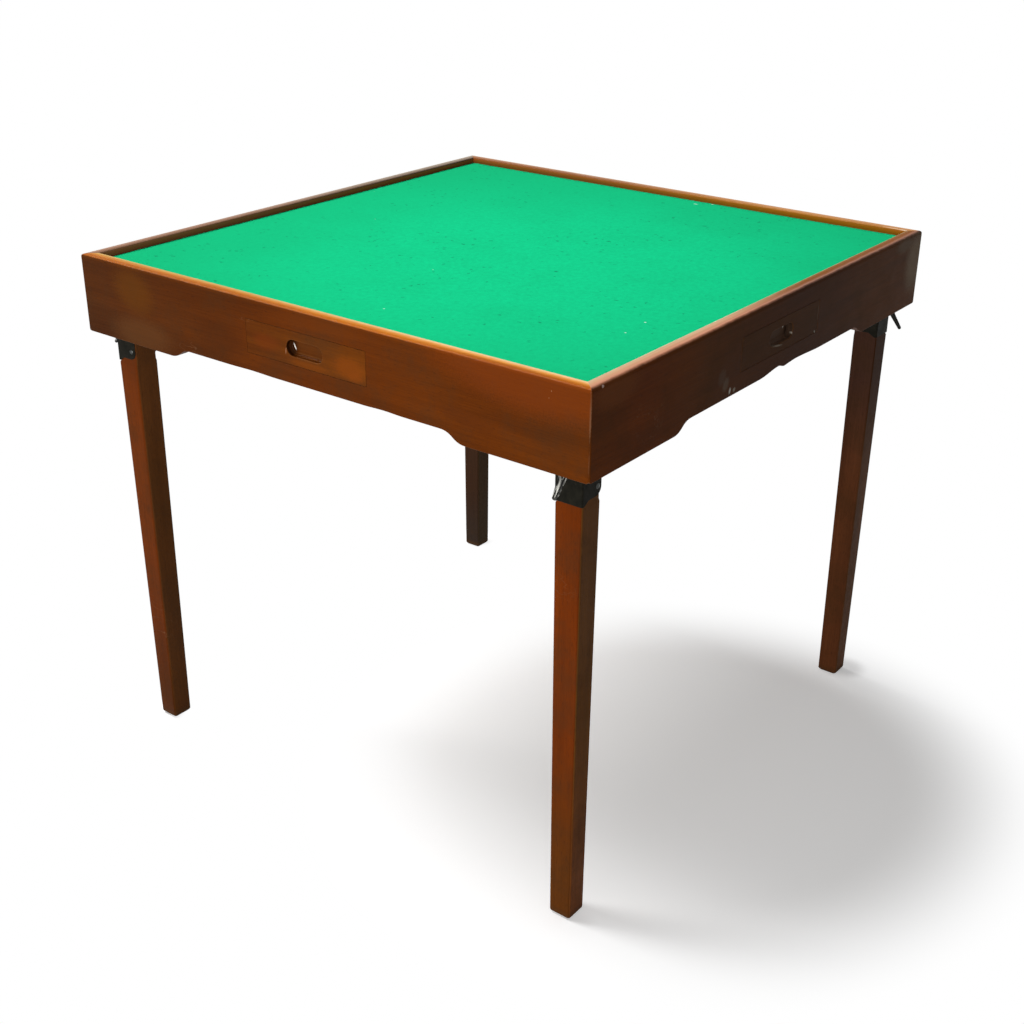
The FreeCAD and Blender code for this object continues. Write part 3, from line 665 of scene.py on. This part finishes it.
def varnishedWood(name, axis, place, board=None, drawer=None, leg=None):
    # varnished mahogany of one board, drawer front or leg, with its grain along an axis
    shader, here = newFinish(name)
    spot = addNode("SeparateXYZ", {"Vector": here}).outputs
    along = stretched(here, (1, 1, 1), place, grainTurns[axis])
    if leg:
        light = legToneWithShade(spot, leg)
        dark = tinted(light, legWoodAndShade["darker"])
    else:
        light, dark = drawerWoodAndShade[drawer] if drawer else (varnish["light"], varnish["dark"])
    grain = useGroup("grain", {
        "Vector": along, "Light": light, "Dark": dark, "Pore": varnish["pore"],
        "Figure": varnish["drawerFigure" if drawer else "figure"], "Pores": varnish["openPores"],
    })
    color = grain["Color"]
    if board:
        share = scaledSum(spot[axis], 0.5 / rimShape["outer"], 0.5)
        # varnish tone along the board, with painted shade and sheen
        color = tinted(color, tintAlong(share, boardTintsAndShade[board]))
    edge = product(attributeOf("arris"), varnish["edgeWear"])
    if leg:
        foot = ramp(spot["Z"], *varnish["footWear"], 0.0, varnish["edgeWear"])
        edge = mathNode("MAXIMUM", foot, edge)
    wear = useGroup("wear", {"Vector": here, "Edge": edge, "Amount": varnish["wear"]})
    color = mixColor(wear["Rubbed"], color, varnish["bare"])
    for mask, share, tone in (
        ("Scratch", "scratchShare", "scratched"), ("Grime", "grimeShare", "grime"),
    ):
        color = mixColor(product(wear[mask], varnish[share]), color, varnish[tone])
    rubbed = wear["Rubbed"]
    if board:
        color, bared = paintRimWearAndHighlights(here, spot, along, board, color)
        color = paintMarksAndHighlights(here, board, color)
        rubbed = mathNode("MAXIMUM", rubbed, bared)
    if drawer:
        color = paintGrooveLightAndShade(spot, drawer, color)
        color = paintMarksAndHighlights(here, drawer + "Drawer", color)
    if leg:  # dust and dirt from the floor
        foot = ramp(spot["Z"], *varnish["footGrime"], 0.0, varnish["footGrimeShare"])
        color = mixColor(foot, color, varnish["grime"])
    rough = mathNode("ADD", varnish["roughness"], grain["Dullness"])
    for mask in (wear["Grime"], rubbed):
        rough = scaledSum(mask, 0.12, rough)
    height = scaledSum(wear["Height"], 0.5, grain["Height"])
    height = scaledSum(noiseAt(here, 16, 2), 2.2, height)
    shine = {**varnish["shine"], **gloss.get(leg or drawer or board, {})}
    setShader(
        shader, Base_Color=color, Roughness=rough,
        Normal=bumpOf(height, varnish["relief"]), **shine,
    )


bareWood = {
    "deal": ((0.5, 0.3, 0.135), (0.33, 0.175, 0.07)),
    "ply": ((0.52, 0.335, 0.165), (0.38, 0.22, 0.095)),
    "stained": ((0.15, 0.052, 0.018), (0.062, 0.02, 0.008)),
    "pore": (0.12, 0.06, 0.025),
    "dirt": (0.1, 0.055, 0.028),
    "dirtShare": 0.4,
    "figure": 1.3,
    "openPores": 0.35,
    "wear": 0.3,
    "roughness": 0.68,
    "relief": 0.0003,
}


def plainWood(name, kind, axis):  # unvarnished wood, matt and a little dirty
    shader, here = newFinish(name)
    light, dark = bareWood[kind]
    grain = useGroup("grain", {
        "Vector": stretched(here, (1, 1, 1), (0.3, 0.1, 0.2), grainTurns[axis]),
        "Light": light, "Dark": dark, "Pore": bareWood["pore"],
        "Figure": bareWood["figure"], "Pores": bareWood["openPores"],
    })
    inputs = {"Vector": here, "Edge": 0.0, "Amount": bareWood["wear"]}
    dirty = product(useGroup("wear", inputs)["Grime"], bareWood["dirtShare"])
    setShader(
        shader, Specular_IOR_Level=0.3,
        Base_Color=mixColor(dirty, grain["Color"], bareWood["dirt"]),
        Roughness=mathNode("ADD", bareWood["roughness"], grain["Dullness"]),
        Normal=bumpOf(grain["Height"], bareWood["relief"]),
    )


baize = {
    "color": (0.0066, 0.636, 0.268),
    # darker cloth, both for worn patches and for the painted shade away from the bright middle
    "worn": (0.0073, 0.452, 0.18),
    "fleck": (0.006, 0.16, 0.075),
    "lint": (0.62, 0.9, 0.78),
    "litMiddle": (0.1, -0.05, 0.692),  # middle of a painted pool of light: the cloth is brightest here and painted darker farther out
    "falloffFrom": 0.1,
    "falloffTo": 0.7,
    "wobble": (0.007, 0.007, 0),  # how far the outline of a fleck wanders
    "flecks": (  # scale, share of the cells, size, strength, turn
        ((80, 190, 120), 0.2, 0.26, 0.75, 0.5), ((200, 95, 120), 0.18, 0.26, 0.62, -0.4),
    ),
    "lintSpecks": {"Scale": 60.0, "Share": 0.016, "Size": 0.05},
    "relief": 0.0005,
    "shine": {
        "Roughness": 0.95, "Specular_IOR_Level": 0.0, "Sheen_Weight": 0.02,
        "Sheen_Roughness": 0.6, "Sheen_Tint": (0.45, 1.0, 0.75),
    },
}


def baizeFinish():
    shader, here = newFinish("greenBaize")
    patch = ramp(noiseAt(here, 5.5, 5, 0.62), 0.4, 0.68)
    color = mixColor(product(patch, 0.25), baize["color"], baize["worn"])
    fibre = noiseAt(here, 1100, 3, 0.7)
    crossed = stretched(here, (900, 2400, 900), rotation=(0, 0, 0.8))
    tangle = noiseAt(crossed, 1.0, 2, 0.6, 1.2)
    mottle = noiseAt(here, 150, 5, 0.75)
    shade = scaledSum(ramp(fibre, 0.3, 0.7), 0.16, 0.83)
    shade = scaledSum(ramp(mottle, 0.3, 0.7), 0.13, shade)
    color = tinted(color, shade)
    # painted falloff of light from the middle of the cloth towards its edges
    away = distanceTo(here, baize["litMiddle"])
    paintedFalloff = ramp(away, baize["falloffFrom"], baize["falloffTo"])
    color = mixColor(paintedFalloff, color, baize["worn"])
    wobble = addNode("TexNoise", {"Vector": here, "Scale": 260.0, "Detail": 2.0})
    inputs = {0: wobble.outputs["Color"], 1: baize["wobble"], 2: here}
    softly = addNode("VectorMath", inputs, operation="MULTIPLY_ADD").outputs[0]
    clusters = noiseAt(here, 11, 2)
    for scale, share, size, strength, turn in baize["flecks"]:
        drawn = stretched(softly, scale, rotation=(0, 0, turn))
        inputs = {"Vector": drawn, "Scale": 1.0, "Share": share, "Size": size}
        flecks = useGroup("specks", inputs)["Mask"]
        flecks = product(flecks, ramp(clusters, 0.4, 0.62, 0.15, strength))
        color = mixColor(flecks, color, baize["fleck"])
    lint = useGroup("specks", {"Vector": here, **baize["lintSpecks"]})["Mask"]
    color = mixColor(product(lint, 0.7), color, baize["lint"])
    height = mathNode("ADD", fibre, product(tangle, 0.8))
    height = scaledSum(mottle, 0.9, height)
    setShader(
        shader, Base_Color=paintMarksAndHighlights(here, "cloth", color),
        Normal=bumpOf(height, baize["relief"], 0.7), **baize["shine"],
    )


steel = {  # skin: paint or patina; metal: what shows where it is worn through
    "japanned": {
        "skin": (0.008, 0.0076, 0.0052), "thin": (0.0165, 0.015, 0.01),
        "metal": (0.095, 0.085, 0.066), "bareShare": 0.38, "roughness": 0.5,
    },
    "lever": {
        "skin": (0.01, 0.01, 0.009), "thin": (0.02, 0.02, 0.018),
        "metal": (0.6, 0.59, 0.54), "bareShare": 0.45, "roughness": 0.3,
        "streaks": {"across": 420.0, "along": 45.0, "ends": (0.47, 0.56)},
        "rubbedFrom": 0.612,  # the streaks grow from here down
        "rubbedTo": 0.575,
    },
    # a darker copy of the lever finish, for the back right lever: painted shade
    "leverInShade": {
        "skin": (0.009, 0.009, 0.007), "thin": (0.017, 0.016, 0.012),
        "metal": (0.11, 0.105, 0.085), "bareShare": 0.4, "roughness": 0.42,
    },
    "rivet": {
        "skin": (0.04, 0.042, 0.04), "thin": (0.085, 0.088, 0.084),
        "metal": (0.42, 0.4, 0.37), "bareShare": 0.9, "roughness": 0.34, "metallic": 1.0,
    },
    "spring": {
        "skin": (0.08, 0.08, 0.085), "thin": (0.17, 0.17, 0.18),
        "metal": (0.3, 0.3, 0.31), "bareShare": 0.8, "roughness": 0.38, "metallic": 1.0,
    },
}


def steelFinish(name):
    tones = steel[name]
    shader, here = newFinish(name)
    wear = useGroup("wear", {
        "Vector": stretched(here, (4, 4, 4)), "Edge": attributeOf("arris"),
        "Amount": tones["bareShare"],
    })
    rubbed = mathNode("MAXIMUM", wear["Rubbed"], product(wear["Scratch"], 0.5))
    if "streaks" in tones:  # the blade is rubbed bright in streaks along its length
        streaks = tones["streaks"]
        height = addNode("SeparateXYZ", {"Vector": here}).outputs["Z"]
        inBlade = addNode("CombineXYZ", {
            "X": product(attributeOf("across"), streaks["across"]),
            "Z": product(height, streaks["along"]),
        }).outputs[0]
        streak = ramp(noiseAt(inBlade, 1.0, 2, 0.5), *streaks["ends"])
        lower = ramp(height, tones["rubbedFrom"], tones["rubbedTo"], 0.25, 1.0)
        rubbed = mathNode("MAXIMUM", rubbed, product(streak, lower))
    pits = noiseAt(here, 900, 4, 0.65)
    blotch = ramp(noiseAt(here, 120, 4, 0.6), 0.3, 0.75)
    color = mixColor(blotch, tones["skin"], tones["thin"])
    rough = ramp(pits, 0.3, 0.7, tones["roughness"] - 0.05, tones["roughness"] + 0.11)
    if "metallic" in tones:
        shine = {"Metallic": tones["metallic"]}
    else:  # bare only where the skin is rubbed off
        shine = {"Metallic": rubbed, "IOR": 1.13}
    setShader(
        shader, Base_Color=mixColor(rubbed, color, tones["metal"]),
        Roughness=scaledSum(wear["Grime"], 0.14, rough),
        Normal=bumpOf(scaledSum(rubbed, -0.4, pits), 0.00012), **shine,
    )


# each board, drawer front and leg is cut from another place of the wood
for index, side in enumerate(sides):
    axis = axesOf(side)[1]
    place = (0.37 * index, 0.21 * index, 0.11 * index)
    varnishedWood(side + "Mahogany", axis, place, board=side)
    place = (0.9 + 0.31 * index, 0.4, 0.3 + 0.17 * index)
    varnishedWood(side + "DrawerMahogany", axis, place, drawer=side)
for index, corner in enumerate(corners):
    varnishedWood(corner + "LegMahogany", "Z", (0.4 * index, 0.7, 0.5), leg=corner)
for axis in ("X", "Y"):
    plainWood("dealAlong" + axis, "deal", axis)
    plainWood("stainedAlong" + axis, "stained", axis)
plainWood("plywood", "ply", "X")
baizeFinish()
for name in steel:
    steelFinish(name)
print("finishes made:", len(finishes))

rounding = {
    "merge": 2e-6,  # points of a CAD node that are nearer than this are one
    "flat": math.radians(0.6),  # faces that turn by less are one face
    "sharp": math.radians(30),  # edges that turn by more are rounded
    "shading": math.radians(35),  # edges that turn by more look sharp
}


def edgePlaces(edge):
    return [vertex.co for vertex in edge.verts]


def onMitre(edge):  # an edge on a diagonal of the table, where two aprons meet
    return all(abs(abs(co.x) - abs(co.y)) < 2e-5 for co in edgePlaces(edge))


def softened(node, radius, segments=2, skip=None, fine=None, fineRadius=None):
    # a copy of a CAD node, merged into clean faces, with rounded arrises marked as such
    bm = bmesh.new()
    bm.from_mesh(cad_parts[node].data)
    bmesh.ops.remove_doubles(bm, verts=bm.verts, dist=rounding["merge"])
    bmesh.ops.dissolve_limit(
        bm, angle_limit=rounding["flat"], verts=bm.verts, edges=bm.edges, delimit={"NORMAL"},
    )
    layer = bm.faces.layers.float.new("arris")
    sharp = [
        edge for edge in bm.edges
        if edge.is_manifold and edge.calc_face_angle(0) > rounding["sharp"]
        and not (skip and skip(edge))
    ]
    slight = [edge for edge in sharp if fine and fine(edge)]
    strong = [edge for edge in sharp if edge not in slight]
    for edges, width in ((slight, fineRadius), (strong, radius)):
        if edges:
            made = bmesh.ops.bevel(
                bm, geom=edges, offset=width, offset_type="OFFSET", segments=segments,
                profile=0.5, affect="EDGES", material=-1, clamp_overlap=False,
            )
            for face in made["faces"]:
                face[layer] = 1.0
    return bm


def cutAcross(bm, place, normal, merge=1e-6, parts=None):
    bmesh.ops.bisect_plane(
        bm, geom=parts or bm.verts[:] + bm.edges[:] + bm.faces[:],
        plane_co=place, plane_no=normal, dist=merge,
    )


def finishPiece(bm, name, body, materials, replaced):
    mesh = bpy.data.meshes.new(name)
    bm.to_mesh(mesh)
    bm.free()
    mesh.shade_smooth()
    mesh.set_sharp_from_angle(angle=rounding["shading"])
    for material in materials:
        mesh.materials.append(finishes[material])
    piece = newObject(name, mesh)
    piece.modifiers.new("faceNormals", "WEIGHTED_NORMAL").keep_sharp = True
    if body:
        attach(piece, body)
    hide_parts(*replaced)
    return piece


aprons = {
    "arris": 0.0007,
    "openingArris": 0.00012,
    "openingHalf": 0.0963,
    "openingHeights": (0.6315, 0.675),
    "outerHalf": 0.391,  # farther out than this is the outer half of a board
    "underMiddle": 0.609,
    "clothLevel": 0.69,
}

wornEdges = {  # on the lower edge: middle, run before it, run after it, depth
    "right": ((0.0, 0.045, 0.016, 0.0043), (0.045, 0.045, 0.065, 0.0024)),
    "front": ((0.12, 0.03, 0.03, 0.0008), (-0.09, 0.04, 0.04, 0.0007)),
    "back": ((0.06, 0.03, 0.03, 0.001),),
    "left": ((-0.11, 0.03, 0.03, 0.0009),),
    "steps": 5,
    "reach": 0.2,
    "height": 0.004,  # what lies higher above the lower edge isn't worn
    "innerShare": 0.55,
}


def wearLowerEdge(bm, side, outward, along):
    steps = wornEdges["steps"]
    places = sorted({
        round(middle + (before if step < 0 else after) * step / steps, 4)
        for middle, before, after, _ in wornEdges[side] for step in range(-steps, steps + 1)
    })
    for place in places:
        cutAcross(bm, along * place, along)
    for vertex in bm.verts:
        run = vertex.co.dot(along)
        low = vertex.co.z - aprons["underMiddle"]
        if -1e-4 < low < wornEdges["height"] and abs(run) < wornEdges["reach"]:
            for middle, before, after, depth in wornEdges[side]:
                share = max(0.0, 1 - abs(run - middle) / (before if run < middle else after))
                outer = vertex.co.dot(outward) > aprons["outerHalf"]
                depth *= 1.0 if outer else wornEdges["innerShare"]
                vertex.co.z += depth * share * share * (3 - 2 * share)


def apronBoards():
    low, high = aprons["openingHeights"]
    for side in sides:
        outward, along = sideAxes(side)

        def atOpening(edge):
            return all(
                abs(co.dot(along)) < aprons["openingHalf"] and low < co.z < high
                for co in edgePlaces(edge)
            )

        bm = softened(
            side + "_apron", aprons["arris"], 3, onMitre, atOpening, aprons["openingArris"],
        )
        wearLowerEdge(bm, side, outward, along)
        for face in bm.faces:
            middle = face.calc_center_median()
            inside = middle.dot(outward) < rimShape["inner"] + 0.0002
            hidden = inside and face.normal.dot(outward) < -0.9 and middle.z < aprons["clothLevel"]
            if hidden or face.normal.z < -0.6 and middle.z < aprons["underMiddle"] + 0.008:
                face.material_index = 1
        finishPiece(
            bm, side + "_apron_board", "table_frame",
            [side + "Mahogany", "stainedAlong" + axesOf(side)[1]], [side + "_apron"],
        )


drawer = {
    "arris": 0.0009,  # round the finger groove
    "rimArris": 0.00012,  # round the front's outline
    "boardArris": 0.0006,
    "halfWidth": 0.0955,
    "wall": 0.0095,
    "gap": 0.001,
    "grooveHeights": (0.637, 0.67),  # the edges of the groove lie within these three
    "grooveFloor": 0.391,
    "grooveEnd": 0.09,
}


def atOutline(edge):  # an edge on the outline of a drawer front, not one of its finger groove
    low, high = drawer["grooveHeights"]
    places = edgePlaces(edge)
    return any(
        co.z > high or co.z < low or max(abs(co.x), abs(co.y)) < drawer["grooveFloor"]
        for co in places
    ) or all(min(abs(co.x), abs(co.y)) > drawer["grooveEnd"] for co in places)


def drawers():
    for side in sides:
        body = side + "_drawer"
        across, run = axesOf(side)
        along = sideAxes(side)[1]
        bm = softened(
            side + "_drawer_front", drawer["arris"], 3, None, atOutline, drawer["rimArris"],
        )
        finishPiece(
            bm, side + "_drawer_face", body,
            [side + "DrawerMahogany"], [side + "_drawer_front"],
        )
        for node, name, onBody, limit in (
            ("_drawer_walls", "_drawer_boards", body, drawer["halfWidth"] - drawer["wall"]),
            ("_drawer_guides", "_guide_boards", "table_frame", drawer["halfWidth"] + drawer["gap"]),
        ):
            bm = softened(side + node, drawer["boardArris"])
            for face in bm.faces:  # the boards that run inwards have their grain that way
                if abs(face.calc_center_median().dot(along)) > limit:
                    face.material_index = 1
            finishPiece(
                bm, side + name, onBody,
                ["dealAlong" + run, "dealAlong" + across], [side + node],
            )


hardware = {
    "pivotHeight": 0.6153,
    "footArris": 0.0014,
    "footHeight": 0.006,
    "legArris": 0.0004,
    "plateArris": 0.0003,
    "leverArris": 0.00035,
    "headSteps": 24,
    "pin": {"reach": 0.0208, "shank": 0.0025, "head": 0.004, "rise": 0.0013},
    "crossRivet": {"reach": 0.0183, "shank": 0.002, "head": 0.0033, "rise": 0.0015},
    "crossRivetOut": 0.01,
    "crossRivetDown": 0.044,
    "backRivet": {"reach": 0.001, "head": 0.0025, "rise": 0.0009},
    "backRivetApart": 0.0105,
    "backRivetHeight": 0.5823,
    "backFace": 0.3765,
    "screw": {
        "length": 0.014, "shank": 0.0018, "head": 0.0034, "rise": 0.0014, "lip": 0.0004,
        "point": 0.004, "tip": 0.0004, "slotHalf": 0.00042,
    },
    "screwFace": 0.38,
    "screwPlaces": ((-0.014, 0.031), (0.014, 0.031), (0.0, 0.0412)),  # about the pivot
    "screwTurns": (0.7, 1.9, 1.3),  # of the first one, more for each corner and each screw
}


def domeProfile(radius, rise, low, steps=5):  # quarter outline of a low dome, from its top
    ball = (radius ** 2 + rise ** 2) / (2 * rise)
    turns = [math.asin(radius / ball) * step / steps for step in range(steps + 1)]
    return [
        (ball * math.sin(turn), low + rise - ball + ball * math.cos(turn)) for turn in turns
    ]


def spun(profile):  # closed solid of revolution about Z from (radius, height) points
    bm = bmesh.new()
    verts = [bm.verts.new((radius, 0, height)) for radius, height in profile]
    edges = [bm.edges.new(pair) for pair in zip(verts, verts[1:])]
    bmesh.ops.spin(
        bm, geom=verts + edges, cent=(0, 0, 0), axis=(0, 0, 1), angle=2 * math.pi,
        steps=hardware["headSteps"], use_merge=True,
    )
    bmesh.ops.remove_doubles(bm, verts=bm.verts, dist=1e-6)
    bmesh.ops.recalc_face_normals(bm, faces=bm.faces)
    return bm


def placedCopy(target, source, index, place, turn):
    # adds a mesh to another, turned, moved, and taken from the first corner to another one
    mesh = bpy.data.meshes.new("copy")
    source.to_mesh(mesh)
    mesh.transform(cornerTurn(index) @ Matrix.Translation(place) @ turn)
    target.from_mesh(mesh)
    bpy.data.meshes.remove(mesh)


def doubleHeaded(size):  # pin or rivet along Z with a dome at both ends
    half = domeProfile(size["head"], size["rise"], size["reach"])
    half.append((size["shank"], size["reach"]))
    return spun(half + [(radius, -height) for radius, height in half[::-1]])


def slottedScrew():  # head above Z = 0, point below
    size = hardware["screw"]
    half, lip = size["slotHalf"], size["lip"]
    bm = spun(domeProfile(size["head"], size["rise"] - lip, lip, 6) + [
        (size["head"], 0), (size["shank"], 0), (size["shank"], size["point"] - size["length"]),
        (size["tip"], -size["length"]), (0, -size["length"]),
    ])
    for edge in (-half, half):
        upper = [face for face in bm.faces if face.calc_center_median().z > lip]
        rims = {item for face in upper for item in (*face.verts, *face.edges)}
        cutAcross(bm, (edge, 0, 0), (1, 0, 0), parts=upper + list(rims))
    slot = [
        face for face in bm.faces
        if face.calc_center_median().z > lip and abs(face.calc_center_median().x) < half
    ]
    made = bmesh.ops.extrude_face_region(bm, geom=slot)["geom"]
    bmesh.ops.delete(bm, geom=slot, context="FACES")
    for item in made:
        if isinstance(item, bmesh.types.BMVert):
            item.co.z = lip
    bmesh.ops.remove_doubles(bm, verts=bm.verts, dist=2e-6)
    bmesh.ops.recalc_face_normals(bm, faces=bm.faces)
    return bm


def pinsAndRivets(index, corner):
    pivot = hardware["pivotHeight"]
    sideways, outwards = (Matrix.Rotation(quarter, 4, axis) for axis in "YX")
    pin = doubleHeaded(hardware["pin"])
    bm = bmesh.new()
    placedCopy(bm, pin, index, (legCentre, -legCentre, pivot), sideways)
    pin.free()
    finishPiece(
        bm, corner + "_domed_pin", "table_frame",
        ["rivet"], [corner + "_hinge_pin"],
    )
    rivet = doubleHeaded(hardware["crossRivet"])
    place = (legCentre, hardware["crossRivetOut"] - legCentre, pivot - hardware["crossRivetDown"])
    bm = bmesh.new()
    placedCopy(bm, rivet, index, place, sideways)
    rivet.free()
    bright = len(bm.faces)
    size = hardware["backRivet"]
    stud = spun(domeProfile(size["head"], size["rise"], 0) + [
        (size["head"], -size["reach"]), (0, -size["reach"]),
    ])
    for apart in (-hardware["backRivetApart"], hardware["backRivetApart"]):
        place = (legCentre + apart, -hardware["backFace"], hardware["backRivetHeight"])
        placedCopy(bm, stud, index, place, outwards)
    stud.free()
    for face in bm.faces[bright:]:
        face.material_index = 1
    finishPiece(
        bm, corner + "_sheath_rivets", corner + "_leg_body",
        ["rivet", "japanned"], [corner + "_sheath_rivet"],
    )


def legsAndLatches():
    for index, corner in enumerate(corners):
        onLeg, onLever = corner + "_leg_body", corner + "_lever_body"
        bm = softened(
            corner + "_leg", hardware["legArris"], 3, None,
            lambda edge: all(co.z < hardware["footHeight"] for co in edgePlaces(edge)),
            hardware["footArris"],
        )
        finishPiece(
            bm, corner + "_tapered_leg", onLeg,
            [corner + "LegMahogany"], [corner + "_leg"],
        )
        # the back right lever gets the darker copy of the lever finish as painted shade
        blade = "leverInShade" if corner == "back_right" else "lever"
        for node, name, body, slot, finish, radius in (
            ("_leg_sheath", "_sheath_plate", onLeg, "black_steel", "japanned", "plateArris"),
            (
                "_hinge_bracket", "_bracket_plate", "table_frame", "black_steel", "japanned",
                "plateArris",
            ),
            ("_release_lever", "_lever_blade", onLever, "bright_steel", blade, "leverArris"),
        ):
            bm = softened(corner + node, hardware[radius])
            if "streaks" in steel[finish]:
                across = bm.verts.layers.float.new("across")
                sideways = cornerTurn(index) @ Vector((1, 0, 0))
                for vertex in bm.verts:
                    vertex[across] = vertex.co.dot(sideways)
            finishPiece(bm, corner + name, body, [finish], [corner + node])
        pinsAndRivets(index, corner)


leafSpring = {
    "arris": 0.00005,
    "bendFrom": 0.024,  # above the pivot: the leaf is held fast higher up
    "bendTo": 0.0025,  # lower down its end lies on the nose of the lever
    "seat": 0.379,
    "slices": 10,
}


def leafSprings():  # each spring is cut into slices between the two heights where it bends, and is left on no body
    first, last = (hardware["pivotHeight"] + leafSpring[end] for end in ("bendFrom", "bendTo"))
    for index, corner in enumerate(corners):
        bm = softened(corner + "_lever_spring", leafSpring["arris"], 1)
        for step in range(1, leafSpring["slices"]):
            height = first + (last - first) * step / leafSpring["slices"]
            cutAcross(bm, (0, 0, height), (0, 0, 1), 1e-7)
        piece = finishPiece(
            bm, corner + "_leaf_spring", None,
            ["spring"], [corner + "_lever_spring"],
        )
        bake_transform(piece)


def bracketScrews():
    screw = slottedScrew()
    inwards = Matrix.Rotation(-quarter, 4, "X")
    turn, perCorner, perScrew = hardware["screwTurns"]
    bm = bmesh.new()
    for index in range(len(corners)):
        for count, (across, up) in enumerate(hardware["screwPlaces"]):
            place = (legCentre + across, -hardware["screwFace"], hardware["pivotHeight"] + up)
            driven = Matrix.Rotation(turn + perCorner * index + perScrew * count, 4, "Z")
            placedCopy(bm, screw, index, place, inwards @ driven)
    screw.free()
    finishPiece(bm, "slotted_screws", "table_frame", ["rivet"], ["bracket_screws"])


cornerBlocks = {"arris": 0.001}


def gluedBlocks():
    bm = softened("corner_blocks", cornerBlocks["arris"])
    finishPiece(
        bm, "glued_corner_blocks", "table_frame", ["dealAlongX"], ["corner_blocks"],
    )


apronBoards()
print("apron boards made")
drawers()
print("drawers made")
legsAndLatches()
bracketScrews()
leafSprings()
print("legs, latches and springs made")
gluedBlocks()
print("corner blocks made")

cloth = {
    "half": 0.3817,
    "under": 0.6908,
    "thickness": 0.0012,
    "ripple": 0.00022,
    "rippleScale": 9,
    "rippleEnd": 0.01,  # the ripples die out this near the rim
    "cells": 110,
    "ragged": 0.0012,  # how far the cut edge wanders inwards
    "raggedScale": 60,
}


def playingCloth():
    half, ripple = cloth["half"], cloth["ripple"]
    bm = bmesh.new()
    bmesh.ops.create_grid(bm, x_segments=cloth["cells"], y_segments=cloth["cells"], size=half)
    for vertex in bm.verts:
        wave = noise.fractal(vertex.co * cloth["rippleScale"], 1.0, 2.0, 3) * ripple
        rim = half - max(abs(vertex.co.x), abs(vertex.co.y))
        if rim < 1e-6:
            cut = cloth["ragged"] * abs(noise.noise(vertex.co * cloth["raggedScale"]))
            vertex.co.x *= 1 - cut / half
            vertex.co.y *= 1 - cut / half
        vertex.co.z = cloth["under"] + wave * min(1.0, rim / cloth["rippleEnd"]) + ripple
    piece = finishPiece(
        bm, "baize_cloth", "table_frame", ["greenBaize"], ["playing_cloth"],
    )
    piece.modifiers.remove(piece.modifiers["faceNormals"])
    thick = piece.modifiers.new("thickness", "SOLIDIFY")
    thick.thickness = cloth["thickness"] - ripple
    thick.offset = 1.0


playingCloth()
print("cloth laid")

carried = {"top_panel": "plywood"}  # CAD nodes that are shown as they are
for corner in corners:
    carried[corner + "_lever_pin"] = "rivet"
for side in sides:
    carried[side + "_drawer_bottom"] = "plywood"
for node, finishName in carried.items():
    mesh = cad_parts[node].data
    mesh.materials.clear()
    mesh.materials.append(finishes[finishName])
print("carried nodes finished:", len(carried))
